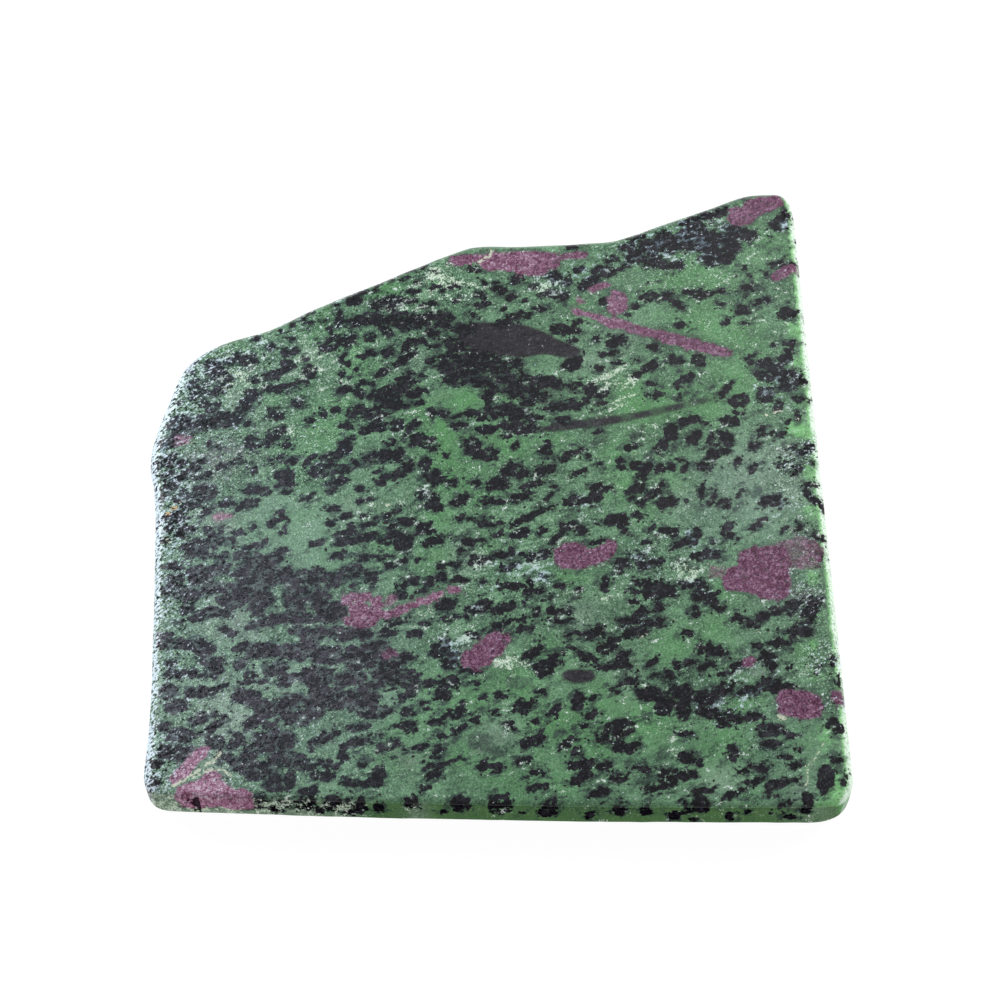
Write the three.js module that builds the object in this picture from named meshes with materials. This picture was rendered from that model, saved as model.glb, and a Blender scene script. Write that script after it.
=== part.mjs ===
// Ruby in zoisite slab: one slice of stone, sawn flat on both faces and polished, lying on its underside.
//
// Units are millimetres and +Z is up. The origin is the middle of the outline's bounding box, on the
// underside. +X runs to the right and +Y away from someone who faces the long saw-cut front edge.
//
// The front, right and left edges are saw cuts. The back edge is the block's natural outside: it runs
// down from the tall right-hand corner to a low shoulder on the left.

import * as THREE from "three";

// ---- driving dimensions (mm) ----

const THICKNESS = 7.0;

// How far each edge's top corner is rounded: inset is measured across the face, drop down the side.
const TOP_ROUNDING = {
  front: { inset: 0.7, drop: 0.7 },
  right: { inset: 2.4, drop: 1.7 },
  back: { inset: 2.1, drop: 2.3 },
  left: { inset: 2.2, drop: 1.6 },
};

// The underside's corner is only broken, by the same amount all the way round.
const BOTTOM_ROUNDING = { inset: 1.2, rise: 1.2 };

const TOP_ROUNDING_STEPS = 6;
const BOTTOM_ROUNDING_STEPS = 4;
const STEPS_PER_CURVE_POINT = 8;

// ---- outline (mm), counter-clockwise from the front left ----

// The front cut bows outwards by less than half a millimetre.
const FRONT_EDGE = [[-46.2, -51.7], [-16, -52.7], [16, -53.3], [46.6, -53.4]];
const FRONT_RIGHT_CORNER = [52.4, -53.4];

// The right cut leans in towards the back.
const RIGHT_EDGE = [[52.4, -48.0], [48.9, 48.4]];
const BACK_RIGHT_CORNER = [48.6, 53.6];

// The natural edge, from the back right corner round the left shoulder.
const BACK_EDGE = [
  [45.6, 53.4], [41, 53.0], [35.5, 50.7], [29, 48.1], [21, 44.8], [15, 44.0], [5, 43.4],
  [-2, 43.3], [-6, 42.1], [-15.5, 37.6], [-28, 31.5], [-35, 27.6], [-42.5, 24.8], [-47.6, 20.8],
  [-49.8, 15.0], [-51.9, 7.5], [-52.3, 3.0], [-51.5, -1.5],
];

// The left cut is almost straight.
const LEFT_EDGE = [[-50.9, -8], [-50.2, -24], [-49.8, -38], [-50.1, -47.6]];
const FRONT_LEFT_CORNER = [-50.2, -51.5];

// ---- outline ----

const toVector = ([x, y]) => new THREE.Vector2(x, y);

function outlineShape() {
  const shape = new THREE.Shape();
  shape.moveTo(...FRONT_EDGE[0]);
  shape.splineThru(FRONT_EDGE.slice(1).map(toVector));
  shape.quadraticCurveTo(...FRONT_RIGHT_CORNER, ...RIGHT_EDGE[0]);
  shape.lineTo(...RIGHT_EDGE[1]);
  shape.quadraticCurveTo(...BACK_RIGHT_CORNER, ...BACK_EDGE[0]);
  shape.splineThru([...BACK_EDGE.slice(1), ...LEFT_EDGE].map(toVector));
  shape.quadraticCurveTo(...FRONT_LEFT_CORNER, ...FRONT_EDGE[0]);
  return shape;
}

// The outline's points, moved so that the middle of their bounding box is at the origin.
function outlinePoints() {
  const points = outlineShape().getPoints(STEPS_PER_CURVE_POINT);
  if (points[0].distanceTo(points.at(-1)) < 1e-6) points.pop();
  const middle = new THREE.Box2().setFromPoints(points).getCenter(new THREE.Vector2());
  return points.map((point) => point.sub(middle));
}

// The outward normal at each point of a counter-clockwise outline.
function outwardNormals(points) {
  return points.map((_, i) => {
    const before = points.at(i - 1);
    const after = points[(i + 1) % points.length];
    return new THREE.Vector2(after.y - before.y, before.x - after.x).normalize();
  });
}

// ---- edge profile ----

// The squares of a unit normal's parts add up to one, so they share the four edges' roundings out
// smoothly round the corners.
function topRoundingAt(normal) {
  const alongX = normal.x > 0 ? TOP_ROUNDING.right : TOP_ROUNDING.left;
  const alongY = normal.y > 0 ? TOP_ROUNDING.back : TOP_ROUNDING.front;
  const share = normal.y ** 2;
  return {
    inset: THREE.MathUtils.lerp(alongX.inset, alongY.inset, share),
    drop: THREE.MathUtils.lerp(alongX.drop, alongY.drop, share),
  };
}

// The edge's profile from the underside to the top face, as inset from the outline and height.
function edgeProfile(normal) {
  const top = topRoundingAt(normal);
  const profile = [];
  for (let i = 0; i <= BOTTOM_ROUNDING_STEPS; i += 1) {
    const turn = (Math.PI / 2) * (i / BOTTOM_ROUNDING_STEPS);
    profile.push({
      inset: BOTTOM_ROUNDING.inset * (1 - Math.sin(turn)),
      height: BOTTOM_ROUNDING.rise * (1 - Math.cos(turn)),
    });
  }
  for (let i = 0; i <= TOP_ROUNDING_STEPS; i += 1) {
    const turn = (Math.PI / 2) * (i / TOP_ROUNDING_STEPS);
    profile.push({
      inset: top.inset * (1 - Math.cos(turn)),
      height: THICKNESS - top.drop * (1 - Math.sin(turn)),
    });
  }
  return profile;
}

// ---- slab ----

// One ring of points for each step of the edge profile, from the underside up.
function edgeRings() {
  const points = outlinePoints();
  const profiles = outwardNormals(points).map((normal) => ({ normal, steps: edgeProfile(normal) }));
  return profiles[0].steps.map((_, level) =>
    points.map((point, i) => {
      const { normal, steps } = profiles[i];
      const { inset, height } = steps[level];
      return new THREE.Vector3(point.x - normal.x * inset, point.y - normal.y * inset, height);
    })
  );
}

// The triangles between two neighbouring rings.
function bandTriangles(lowerStart, upperStart, count) {
  const triangles = [];
  for (let i = 0; i < count; i += 1) {
    const next = (i + 1) % count;
    triangles.push(lowerStart + i, lowerStart + next, upperStart + next);
    triangles.push(lowerStart + i, upperStart + next, upperStart + i);
  }
  return triangles;
}

// The triangles of a flat face inside a ring, facing up or down.
function faceTriangles(ring, start, facingUp) {
  return THREE.ShapeUtils.triangulateShape(ring, []).flatMap(([a, b, c]) =>
    facingUp ? [start + a, start + b, start + c] : [start + a, start + c, start + b]
  );
}

function slabGeometry() {
  const rings = edgeRings();
  const count = rings[0].length;
  const topStart = (rings.length - 1) * count;
  const triangles = faceTriangles(rings[0], 0, false);
  for (let start = 0; start < topStart; start += count) {
    triangles.push(...bandTriangles(start, start + count, count));
  }
  triangles.push(...faceTriangles(rings.at(-1), topStart, true));
  const geometry = new THREE.BufferGeometry();
  geometry.setFromPoints(rings.flat());
  geometry.setIndex(triangles);
  geometry.computeVertexNormals();
  return geometry;
}

function slab() {
  const stone = new THREE.MeshStandardMaterial({ color: 0x5d8468, roughness: 0.25, metalness: 0 });
  const mesh = new THREE.Mesh(slabGeometry(), stone);
  mesh.name = "slab";
  return mesh;
}

const part = new THREE.Group();
part.add(slab());

export default part;
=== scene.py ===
# Ruby in zoisite slab: the stone's finished surface, over the imported CAD slab.
#
# The polished face, the ground edges, the natural back edge and the underside are one mesh. The rock's
# minerals are placed in millimetres, as ellipsoids in the stone: their distances are stored on
# the mesh's points, and the material breaks those shapes up into ragged, speckled crystals.
#
# Settings come first, then the places of the minerals, the mesh, the measurements stored on it, the
# material, the surroundings, and at the end the scene.

import math

import bpy
import numpy as np
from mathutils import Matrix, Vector
from mathutils.bvhtree import BVHTree
from mathutils.geometry import delaunay_2d_cdt


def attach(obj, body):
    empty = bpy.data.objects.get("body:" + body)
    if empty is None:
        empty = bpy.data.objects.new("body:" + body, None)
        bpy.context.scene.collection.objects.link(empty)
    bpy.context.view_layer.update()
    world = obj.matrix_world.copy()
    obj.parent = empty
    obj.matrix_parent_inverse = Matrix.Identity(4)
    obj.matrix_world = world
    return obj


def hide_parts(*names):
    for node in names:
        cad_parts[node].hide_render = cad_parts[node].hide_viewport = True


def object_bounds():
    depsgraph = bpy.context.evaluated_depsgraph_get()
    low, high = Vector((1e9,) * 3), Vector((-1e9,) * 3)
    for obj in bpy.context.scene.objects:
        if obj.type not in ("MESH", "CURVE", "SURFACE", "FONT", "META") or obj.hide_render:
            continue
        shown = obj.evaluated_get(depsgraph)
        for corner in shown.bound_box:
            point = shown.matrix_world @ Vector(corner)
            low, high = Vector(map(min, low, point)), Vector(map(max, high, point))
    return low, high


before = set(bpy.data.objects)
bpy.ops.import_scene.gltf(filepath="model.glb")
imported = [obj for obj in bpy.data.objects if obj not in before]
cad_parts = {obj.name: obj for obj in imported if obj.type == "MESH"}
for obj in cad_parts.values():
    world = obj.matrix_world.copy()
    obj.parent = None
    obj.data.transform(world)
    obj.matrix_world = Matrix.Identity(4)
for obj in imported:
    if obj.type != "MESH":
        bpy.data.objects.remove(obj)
CAD_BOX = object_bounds()

MM = 0.001
THICKNESS = (CAD_BOX[1].z - CAD_BOX[0].z) / MM

# Where the front cut runs, on average (mm).
FRONT_FACE_Y = -53

# ---- mesh (mm) ----

# The edge is a band with this many points round the stone and this many rows up its side. They are found
# by fans of rays, which start inside the edge by the inset.
RIM_POINTS = 840
RIM_ROWS = 26
RIM_INSET = 3.8
RIM_FAN_RAYS = 73
OUTLINE_RAYS = 4 * RIM_POINTS

# The flat faces are filled with equal-sided triangles, kept a share of their spacing clear of the band.
# TRIANGLE_HEIGHT is for sides of 1, and ONLY_INSIDE has no triangles made beyond the border.
TOP_SPACING = 0.41
UNDERSIDE_SPACING = 0.9
BORDER_GAP = 0.6
TRIANGLE_HEIGHT = math.sqrt(0.75)
ONLY_INSIDE = 1

# Too little to matter, as a length or as a share.
TINY = 1e-6

# How far the ground surface wanders from the CAD slab, in lumps of what size, and the lumps' seeds.
FACE_WAVE, FACE_LUMPS, FACE_SEED = 0.03, 9.0, 40
SIDE_WAVE, SIDE_LUMPS, SIDE_SEED = 0.05, 2.2, 41
NATURAL_WAVE, NATURAL_LUMPS, NATURAL_SEED = 0.12, 4.5, 42

# ---- shapes of the minerals (mm, degrees) ----

# Where the minerals are measured, the points are pushed about, so that the shapes come out uneven:
# size of the lumps, how far, and seed.
CRYSTAL_PUSH = (3.0, 0.3, 10)
AREA_PUSH = (6.0, 1.2, 20)
DEEP_PUSH = (4.0, 0.3, 30)
NOISE_CELLS = 32

# How square the crystals are: 2 is an ellipsoid, and more is squarer.
RUBY_POWER = 3.2
FAINT_RUBY_POWER = 2.4
GRAIN_POWER = 2.3
ROUND_POWER = 2

# Distances are measured no further than this.
FAR = 3.0

# How deep crystals reach that are given without a depth: a share of their length and width, and on top
# of it the least depth.
GRAIN_DEPTH = (0.8, 0.8)
SHALLOW_DEPTH = (0.5, 0.6)

# How much deeper than wide the soft shapes are, and how deep the front cut's grains are.
SHAPE_DEPTH = 2
FRONT_GRAIN_DEPTH = 1.5

# Black grains below the polished face, which only the sides and the underside cut. Their place, half
# sizes and level are drawn between limits, and their turn about a middle with a spread.
BURIED_GRAINS = 1500
BURIED_SEED = 7
BURIED_REACH = 54
BURIED_HALVES = ((0.7, 2.0), (0.4, 1.0), (0.7, 1.8))
BURIED_LEVEL = (-0.5, THICKNESS - 1.2)
BURIED_TURN = (15, 12)
BURIED_BELOW_TOP = 0.4
BURIED_BEHIND_FRONT = 2.5

# A face is sawn and matt where its outward normal's y or z is less than this.
SAWN_Y = -0.8
SAWN_Z = -0.3

# ---- textures of the rock (mm, degrees) ----

# From +X to the rock's own grain, and to the marks of its grinding.
FOLIATION = 17
GRINDING = 32

# How much longer the rock's grain is up and down than across, and how much longer along its run.
UPRIGHT = 1.6
FIBRE_STRETCH = 2.4
LOBE_STRETCH = 1.35
SPECKLE_STRETCH = 1.6

# The sizes of the rock's textures, from its finest crumbs to its clouds, and of its pits.
DUST_SIZE = 0.17
CRUMB_SIZE = 0.36
LOBE_SIZE = 0.8
FIBRE_SIZE = 0.8
RAGGED_SIZE = 1.1
CLOUD_SIZE = 6.0
STREAK_SIZE = 1.6
SPECKLE_SIZE = 0.36
PIT_SIZE = 0.5

# What spreads Blender's noise to about -1 to 1.
NOISE_SPREAD = 3

BUMP_HEIGHT = 0.03
BUMP_STRENGTH = 0.5

# How the two finishes shine: specular level and roughness.
POLISHED = (0.5, 0.27)
SAWN = (0.0, 0.6)

# ---- camera and light (mm, degrees, watts) ----

CAMERA_ELEVATION = 62
CAMERA_DISTANCE = 400
CAMERA_TARGET = (1.361, -3.598, 7)
CAMERA_LENS = 94.78
CAMERA_SENSOR = 36
CAMERA_CLIP_START = 10

FLOOR_SIZE = 3000
FLOOR_GREY = 0.1
FLOOR_GLOW = 0.95
WORLD_STRENGTH = 0.22
WORLD_TINT = (0.96, 0.98, 1.0)

# Name, place, size, watts, tint and whether reflections show it.
LIGHTS = [
    ("left_light", (-360, 210, 170), (220, 260), 1.8, (0.92, 0.97, 1.0), True),
    ("right_light", (360, 210, 170), (220, 260), 1.6, (1.0, 0.99, 0.97), False),
    ("left_glow", (-178, 195, 370), (170, 230), 0.24, (0.64, 0.82, 1.0), True),
    ("right_glow", (110, 255, 370), (170, 130), 0.08, (0.93, 0.97, 1.0), True),
    ("front_light", (0, -420, 560), (360, 240), 0.8, (1.0, 1.0, 1.0), False),
]

# ---- places of the minerals, in millimetres and degrees in the part's own frame ----

# Ruby crystals cut by the polished face: x, y, half length, half width, turn, depth.
RUBIES = [
    # back edge and back right corner
    (4.6, 39.6, 6.6, 1.8, 0, 4), (6.2, 38.3, 2.8, 1.3, 0, 3), (-3.9, 40, 3, 0.95, 4, 3),
    (12.9, 40.5, 2.4, 0.65, 10, 2), (40, 48.2, 1.9, 1.7, 0, 5), (43.8, 50.4, 3.4, 1.5, 22, 5),
    (42.6, 49.1, 1.7, 0.9, 30, 4), (46.6, 37.4, 2.4, 0.85, 34, 3),
    # the long thin crystal and the small ones round its upper end
    (31.5, 24, 6.4, 1.05, -17.5, 3), (22.5, 27, 5.4, 0.85, -17.5, 3), (15.6, 29.4, 3.2, 0.5, -18, 2),
    (20.1, 31.7, 2.2, 1.5, 72, 4), (17.2, 34.6, 1.9, 0.6, 27, 2),
    # middle
    (12.2, -13.2, 2.8, 2.1, 0, 5), (16.4, -12.9, 2.1, 1.4, 25, 4), (17.8, -11.8, 0.8, 1.2, -10, 3),
    (-20, -20, 2.3, 0.9, 8, 3), (-19.6, -22.2, 1.4, 1.6, 0, 3), (-19.5, -24, 2.5, 1, 5, 3),
    (-17.6, -23, 1.4, 0.9, 0, 3), (-17, -20.9, 1, 1.3, 30, 3), (-15.9, -22.7, 2.2, 0.7, 5, 2),
    (-13, -21.9, 1.4, 0.75, 20, 2), (-9.3, -20.3, 2.7, 0.6, 23, 2), (-5.4, -18.7, 1.1, 0.55, 15, 2),
    (-0.6, -28.8, 3.7, 1.8, 42, 5), (-2.6, -30.1, 1.6, 1.4, 0, 4), (2.2, -26.9, 1.1, 0.7, 30, 3),
    # right
    (41, -15.5, 4, 4, 0, 9), (37.4, -17, 2.5, 2, 0, 7), (42, -18.8, 2.4, 1.4, 0, 7),
    (45.3, -37.4, 3.3, 2.2, -12, 6), (50.6, -36.3, 0.9, 1.1, 0, 4), (37.9, -30.6, 0.9, 0.8, 10, 3),
    # front left corner
    (-43.4, -46.9, 3.7, 1, 49, 5), (-41.4, -51.1, 3.9, 1.7, 8, 3.8), (-40.4, -49.2, 1.5, 1.1, 50, 4),
    (-36.8, -52.2, 2.8, 1.8, -5, 4.4), (-43, -52, 2, 1.2, 0, 4.4),
]

# Ruby mixed into the rock and only half there, in the same way.
FAINT_RUBIES = [
    (-47.4, 7, 1.2, 0.7, 15, 2), (-41, -6.6, 1.5, 0.6, 5, 2), (-14.8, -29.2, 1.1, 0.6, 0, 2),
    (47.2, -12.6, 2.2, 1.7, 0, 2), (45.4, -12.4, 2.8, 2.2, 0, 3), (47.6, -14, 1.6, 1.4, 0, 3),
    (45, -12.9, 2.3, 2.2, 0, 6), (47.2, -11, 2, 0.9, -20, 4), (49.4, -12.2, 0.7, 0.8, 0, 3),
    (13.9, 32.2, 0.7, 0.5, 0, 1), (-14.8, -20.4, 0.9, 0.7, 30, 2), (33.8, -15.8, 1.2, 0.9, 10, 3),
    (23.5, 25.8, 0.8, 0.4, -20, 1),
]

# Where the ruby is paler and pinker: x, y, radius, strength.
PINK_AREAS = [
    (-18, -22, 6, 0.3), (-7, -19.5, 5, 0.6), (-42, -49, 12, 1), (3, 40, 9, 0.35), (-47, 7, 3, 1),
    (-41, -6.6, 3, 1), (17, 30, 6, 0.3),
]

# Ruby crystals cut by the underside, in the same way, with a height in place of the depth.
BURIED_RUBIES = [
    (-24, 8, 4, 1.5, 25, 4), (8, -34, 3, 2, -10, 4), (24, 20, 5.5, 1.1, -12, 4),
    (-8, 27, 2.4, 1.6, 40, 4), (-33, -22, 2.2, 1.3, 15, 3), (30, -40, 3.4, 1.4, 20, 4),
]

# Single black hornblende grains: x, y, half length, half width, turn.
GRAINS = [
    # left edge and dark lens
    (-49.6, 3.2, 1.3, 0.5, 30), (-47.3, 3, 1, 0.45, 30), (-46.5, 0.8, 2.4, 0.55, 32),
    (-48.6, -1, 1.6, 0.6, 30), (-46, -2.6, 1.4, 0.5, 30), (-49.8, -3, 0.8, 0.5, 40),
    (-45.6, -4.4, 1.1, 0.5, 35), (-49.8, -6.8, 0.9, 0.5, 30), (-47.6, -5.9, 1.4, 0.4, 35),
    (-43.8, 0.6, 1.2, 0.35, 30), (-49.3, 0.9, 0.9, 0.35, 30), (-44.6, 3, 1, 0.35, 20),
    (-49.2, -10.6, 0.7, 0.5, 0), (-47, 19.5, 0.4, 0.5, 0), (-46.2, 20.9, 0.6, 0.35, 30),
    (-46.5, 16.8, 0.9, 0.35, 30), (-45.5, 15.2, 1.2, 0.3, 30), (-48.5, 13.3, 0.6, 0.3, 30),
    (-37, 25.2, 0.6, 0.3, 20), (-34.8, 23.6, 0.6, 0.4, 20), (-31.6, 27.7, 0.5, 0.3, 20),
    (-29.8, 28.9, 0.5, 0.3, 25), (-28.6, 30, 0.7, 0.25, 30), (-27.9, 28.2, 0.8, 0.25, 5),
    (-25.2, 27, 0.35, 0.6, 0), (-22.6, 32.7, 0.5, 0.25, 20), (-21, 33.6, 0.7, 0.35, 30),
    (-24.6, 31.6, 0.4, 0.25, 25), (-18, 35.2, 0.5, 0.2, 25), (-15.6, 36.2, 0.6, 0.2, 25),
    (-11.3, 38.3, 1, 0.15, 28), (-33.4, 26.6, 0.4, 0.25, 0), (-47.4, -15.2, 1.2, 0.5, 0),
    (-44, -16.2, 1.5, 1.1, 10), (-47.8, -17, 0.9, 0.4, 0), (-46.5, -18.9, 2.4, 0.7, 0),
    (-43.5, -23, 1.7, 0.7, 10), (-7, 20.5, 1.4, 0.7, 10), (-4, 18.5, 1.2, 0.6, 20), (-1, 20, 1.5, 0.6, 5),
    (1.2, 18.2, 1.1, 0.5, 15), (-5.5, 17.4, 1.5, 0.8, 5), (-3.2, 18.8, 1.3, 1, 0),
    (-1.5, 17.1, 1.5, 0.9, 0), (0.1, 16, 1.2, 0.9, -10), (1.4, 19.4, 1.3, 0.9, 20),
    (2.3, 17.6, 1, 0.8, 0), (-0.4, 14.4, 0.8, 1.2, 0), (4.4, 17.4, 1.3, 0.9, 10), (6.5, 16.2, 1.3, 1, 0),
    (9.1, 17.4, 1.2, 0.6, 0), (7.3, 14.5, 1.2, 0.8, 10), (3.8, 15.2, 1.2, 0.8, 15),
    (4.3, 11.7, 1.4, 1, 10), (5.9, 10.6, 1.1, 0.6, 0), (2.6, 12.2, 1.2, 0.8, 20),
    (-0.2, 11.8, 1.1, 0.7, 0), (-1.4, 10.7, 1.2, 0.5, 10), (10, 12.8, 1.3, 0.7, 15),
    (12.8, 13, 1.2, 0.6, 10), (-3.4, 20.7, 1.2, 0.9, 0), (-6.4, 20.8, 1.4, 0.9, 0),
    (-8, 20.3, 0.9, 0.5, 0), (0.6, 20.9, 1.2, 0.7, 10), (-6, 18.9, 1.6, 0.6, 10),
    # back left
    (-43.5, 20.3, 1.2, 1, 0), (-42.2, 18.3, 1.6, 0.9, -30), (-39.6, 21.6, 2.2, 0.6, 10),
    (-38.2, 21, 1.2, 0.7, 0), (-42.4, 15.8, 1.8, 0.45, 30), (-44.3, 17.1, 0.6, 0.4, 30),
    (-43.3, 13, 1.6, 0.6, -5), (-41.5, 11.3, 2.5, 0.8, -10), (-44.5, 9.9, 5.5, 1.1, 2),
    (-40.5, 10.5, 2, 1, -10), (-48.3, 10.6, 1, 0.4, 10), (-46.5, 8.3, 2, 0.45, 40), (-49, 7, 2, 0.7, 45),
    (-38.2, 12.8, 1.3, 1, 50), (-36.8, 14.8, 1.2, 1.1, 0), (-37.4, 9.8, 0.6, 0.4, 0),
    (-34.4, 12.6, 0.4, 0.3, 0), (-33.3, 11.5, 1.2, 0.9, 0), (-33.5, 7.5, 2.3, 1.1, 52),
    (-37, 7, 0.9, 0.4, 10), (-37, 5.6, 1.1, 0.35, -20), (-33.5, 18.8, 2.6, 0.7, 25),
    (-32, 20.2, 1.2, 1.1, 10), (-28.5, 19, 1.2, 1, 20), (-33, 16.2, 2.8, 0.7, 5),
    (-37.1, 17.8, 0.5, 0.4, 0), (-31.5, 22.8, 1.3, 0.6, 10), (-31.5, 25.2, 0.7, 0.3, 0),
    (-29, 21.3, 0.6, 0.3, 0), (-29.8, 13.5, 0.9, 0.5, 50), (-27.8, 10.2, 0.8, 0.4, 10),
    (-31.3, 6, 0.7, 0.4, 10), (-43.2, 6.1, 0.5, 0.5, 0), (-41.3, 5.5, 0.5, 0.3, 0),
    (-33.8, 3, 0.4, 0.4, 0), (-32.1, 3.8, 0.9, 0.4, 15), (-30.6, 2.9, 1.1, 0.6, 0),
    (-27.8, 3.4, 1, 0.5, 40), (-36.3, 1.6, 0.9, 0.45, 80), (-39.3, 3.1, 0.9, 0.35, 25),
    (-41.2, 2.3, 1.2, 0.3, 20), (-31.5, 0.7, 1.5, 0.9, 10), (-51.2, 2.4, 0.8, 0.5, 60),
    (-50.7, 6, 0.8, 0.6, 30), (-29.6, 17.3, 0.9, 0.5, 10), (-5.6, 24, 1.7, 1.3, 20),
    (-4.4, 22, 2.2, 0.9, 10), (-4, 27, 1.6, 1, 0), (-1.6, 21.9, 2, 0.7, 5), (-7.6, 21.4, 1, 0.6, 20),
    # back middle
    (-9.2, 37.4, 0.8, 0.45, -5), (-11.5, 35.5, 0.6, 0.4, 10), (-14, 36.3, 0.8, 0.3, 15),
    (-2.8, 38.1, 1.3, 0.5, -15), (-20.5, 33.9, 1, 0.4, 10), (-18.8, 33.8, 0.5, 0.25, 20),
    (-21.5, 32.1, 1.3, 0.7, 10), (-16.5, 31.6, 3, 0.9, 12), (-12.8, 32.2, 0.9, 0.6, 0),
    (-12.3, 34, 0.9, 0.3, 10), (-9, 34.6, 0.9, 0.3, 15), (-6.3, 34.7, 1.3, 0.4, 15),
    (-9.9, 31.3, 1.6, 0.6, 15), (-5.5, 32.2, 0.8, 0.35, 15), (-1.5, 31.4, 1.4, 0.55, 20),
    (-2.7, 29.4, 1, 0.35, -20), (-24, 29, 1.2, 0.55, 100), (-26.5, 28.3, 0.7, 0.3, 0),
    (-1, 35.3, 0.5, 0.4, 0), (-1.6, 33.2, 1.1, 0.6, -10), (-20.5, 28.4, 2.3, 1, 15),
    (-16.8, 28.6, 2.2, 1.3, 10), (-12.6, 28.3, 2.4, 1.4, 0), (-8.6, 28.6, 2.3, 1.3, -5),
    (4.2, 36.3, 1.3, 0.8, 50), (0.6, 35.3, 0.7, 0.4, 30), (1.2, 34.2, 1.1, 0.7, -20),
    (2.9, 33, 1.1, 0.7, 10), (5, 32, 0.75, 0.35, 5), (8.4, 33, 0.7, 0.4, 20), (9.7, 33.3, 0.9, 0.5, 10),
    (11.2, 32.9, 1, 0.75, -30), (7.7, 30.4, 1.3, 0.35, 5), (2, 30.4, 0.5, 0.2, 10),
    (4.3, 29.2, 2.2, 0.6, 15), (1.5, 28, 1.2, 0.45, 25), (10.2, 36.7, 0.9, 0.8, -30),
    (12, 36, 0.9, 0.7, 30), (14, 37.9, 0.8, 0.4, 20), (15.6, 35.6, 2.1, 0.9, 42),
    (17, 37.9, 0.8, 0.5, 20), (18.7, 37.4, 1.4, 0.9, 15), (21.3, 38.6, 1.3, 0.3, 25),
    (19.3, 39.9, 0.8, 0.35, 30), (17.8, 31.8, 0.8, 0.6, 50), (22.8, 30.7, 0.6, 0.6, 0),
    (21.3, 29.4, 0.75, 0.4, 35), (13.3, 28, 1, 0.5, 20), (10.9, 27.3, 1.6, 0.5, 10),
    (6.5, 34.9, 0.6, 0.3, 0), (12.8, 42.3, 0.8, 0.35, -10),
    # back right
    (21.8, 42.2, 1.4, 0.5, 5), (23.5, 44.2, 1.3, 0.6, 25), (23, 40.5, 1.3, 1, 0),
    (24.9, 42.1, 1.5, 1.4, 0), (25.5, 39.4, 1.3, 0.9, 10), (28, 43.3, 1.6, 1.9, 0),
    (31, 43.2, 1.8, 1.6, 0), (35.9, 40.3, 2.6, 1.4, 10), (35.3, 43.2, 2.8, 2, 0), (33, 45.4, 2, 1.3, 0),
    (31.6, 47.2, 1.5, 0.7, 18), (35, 48.4, 1.7, 0.8, 15), (39.6, 44.7, 2.2, 1.1, 0),
    (38.4, 46.2, 1.2, 0.8, 10), (38.2, 42.4, 1.6, 1.5, 0), (41.7, 44.3, 1.2, 0.8, 30),
    (37.2, 49, 1.3, 0.8, 15), (28.6, 38.6, 1.6, 0.7, 10), (46.5, 47.3, 1.9, 1, 30),
    (47.5, 48.6, 0.8, 0.6, 60), (46.8, 45.7, 1.5, 0.45, 15), (46.3, 39.2, 1, 0.6, 20),
    (47.9, 39.1, 0.5, 0.5, 0), (45, 39, 0.5, 0.35, 0), (40.9, 36.9, 0.4, 0.3, 0),
    (43.7, 36.9, 0.35, 0.35, 0), (40.3, 38.1, 0.4, 0.3, 0), (40.7, 34.5, 0.8, 0.8, 0),
    (32.2, 33.4, 1.9, 0.65, -10), (36.2, 34, 1.2, 0.3, 10), (34.8, 33.4, 0.6, 0.3, 20),
    (39.8, 30.4, 1.2, 0.85, 10), (41.9, 31.6, 0.9, 0.5, 25), (43.7, 32.3, 0.7, 0.35, 10),
    (37, 28.3, 0.8, 0.5, 40), (25.1, 32.7, 1.5, 0.85, 8), (27.6, 32.8, 1.1, 0.8, -10),
    (28.8, 31.9, 0.9, 0.55, -25), (29.7, 31.3, 0.8, 0.35, -55), (46.3, 29.6, 1.2, 1, 20),
    (48.1, 30, 0.6, 0.3, 40), (29.7, 27.4, 0.8, 0.5, 0), (36.4, 31.3, 0.4, 0.25, 0),
    (40.3, 27.9, 0.5, 0.3, 0), (24.3, 46.2, 1, 0.4, 20),
    # left of the middle, upper half
    (-22.7, 24.8, 1.5, 1, 10), (-25, 25.3, 0.9, 0.5, 20), (-26.4, 23.4, 0.7, 0.7, 0),
    (-25, 23.1, 0.9, 0.6, 40), (-19, 25.3, 1, 0.4, 20), (-16.3, 26.4, 0.9, 0.8, 0),
    (-12.2, 24.1, 1.8, 0.8, 20), (-9, 23.5, 1, 0.35, 5), (-19, 22.6, 0.8, 0.7, 20),
    (-16, 22.8, 1.5, 0.65, 50), (-20.2, 21.9, 0.6, 0.35, 10), (-23.3, 21.7, 0.9, 0.4, 50),
    (-13.5, 21.4, 2.3, 0.6, 38), (-9, 21.4, 1.2, 0.45, 25), (-22.3, 20.4, 0.8, 0.35, 0),
    (-21, 19.2, 0.7, 0.35, 50), (-23.2, 18.8, 0.6, 0.4, 80), (-22, 18.2, 0.4, 0.3, 0),
    (-17, 18.9, 1.2, 0.5, 30), (-12.3, 18.7, 0.6, 0.3, -10), (-11.1, 18.3, 0.6, 0.35, 25),
    (-20, 17.3, 0.4, 0.4, 0), (-18.6, 17.2, 0.5, 0.3, 20), (-22.8, 15.9, 1.3, 0.6, 35),
    (-20.5, 15.2, 0.8, 0.7, 20), (-15.6, 15.2, 3.4, 1.2, 10), (-13.3, 17.2, 1.5, 0.9, 15),
    (-12, 15.2, 1.4, 0.9, 20), (-10, 15.7, 0.6, 0.4, 0), (-15.4, 13.1, 1.4, 1.1, 0),
    (-11, 13.4, 0.75, 0.45, 20), (-13.3, 12.8, 0.7, 0.35, 5), (-24.2, 12.1, 0.9, 0.6, 25),
    (-26, 11.4, 0.7, 0.4, 30), (-21.2, 11.9, 1.7, 0.8, 45), (-18.3, 11.6, 1.5, 1, 20),
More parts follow.
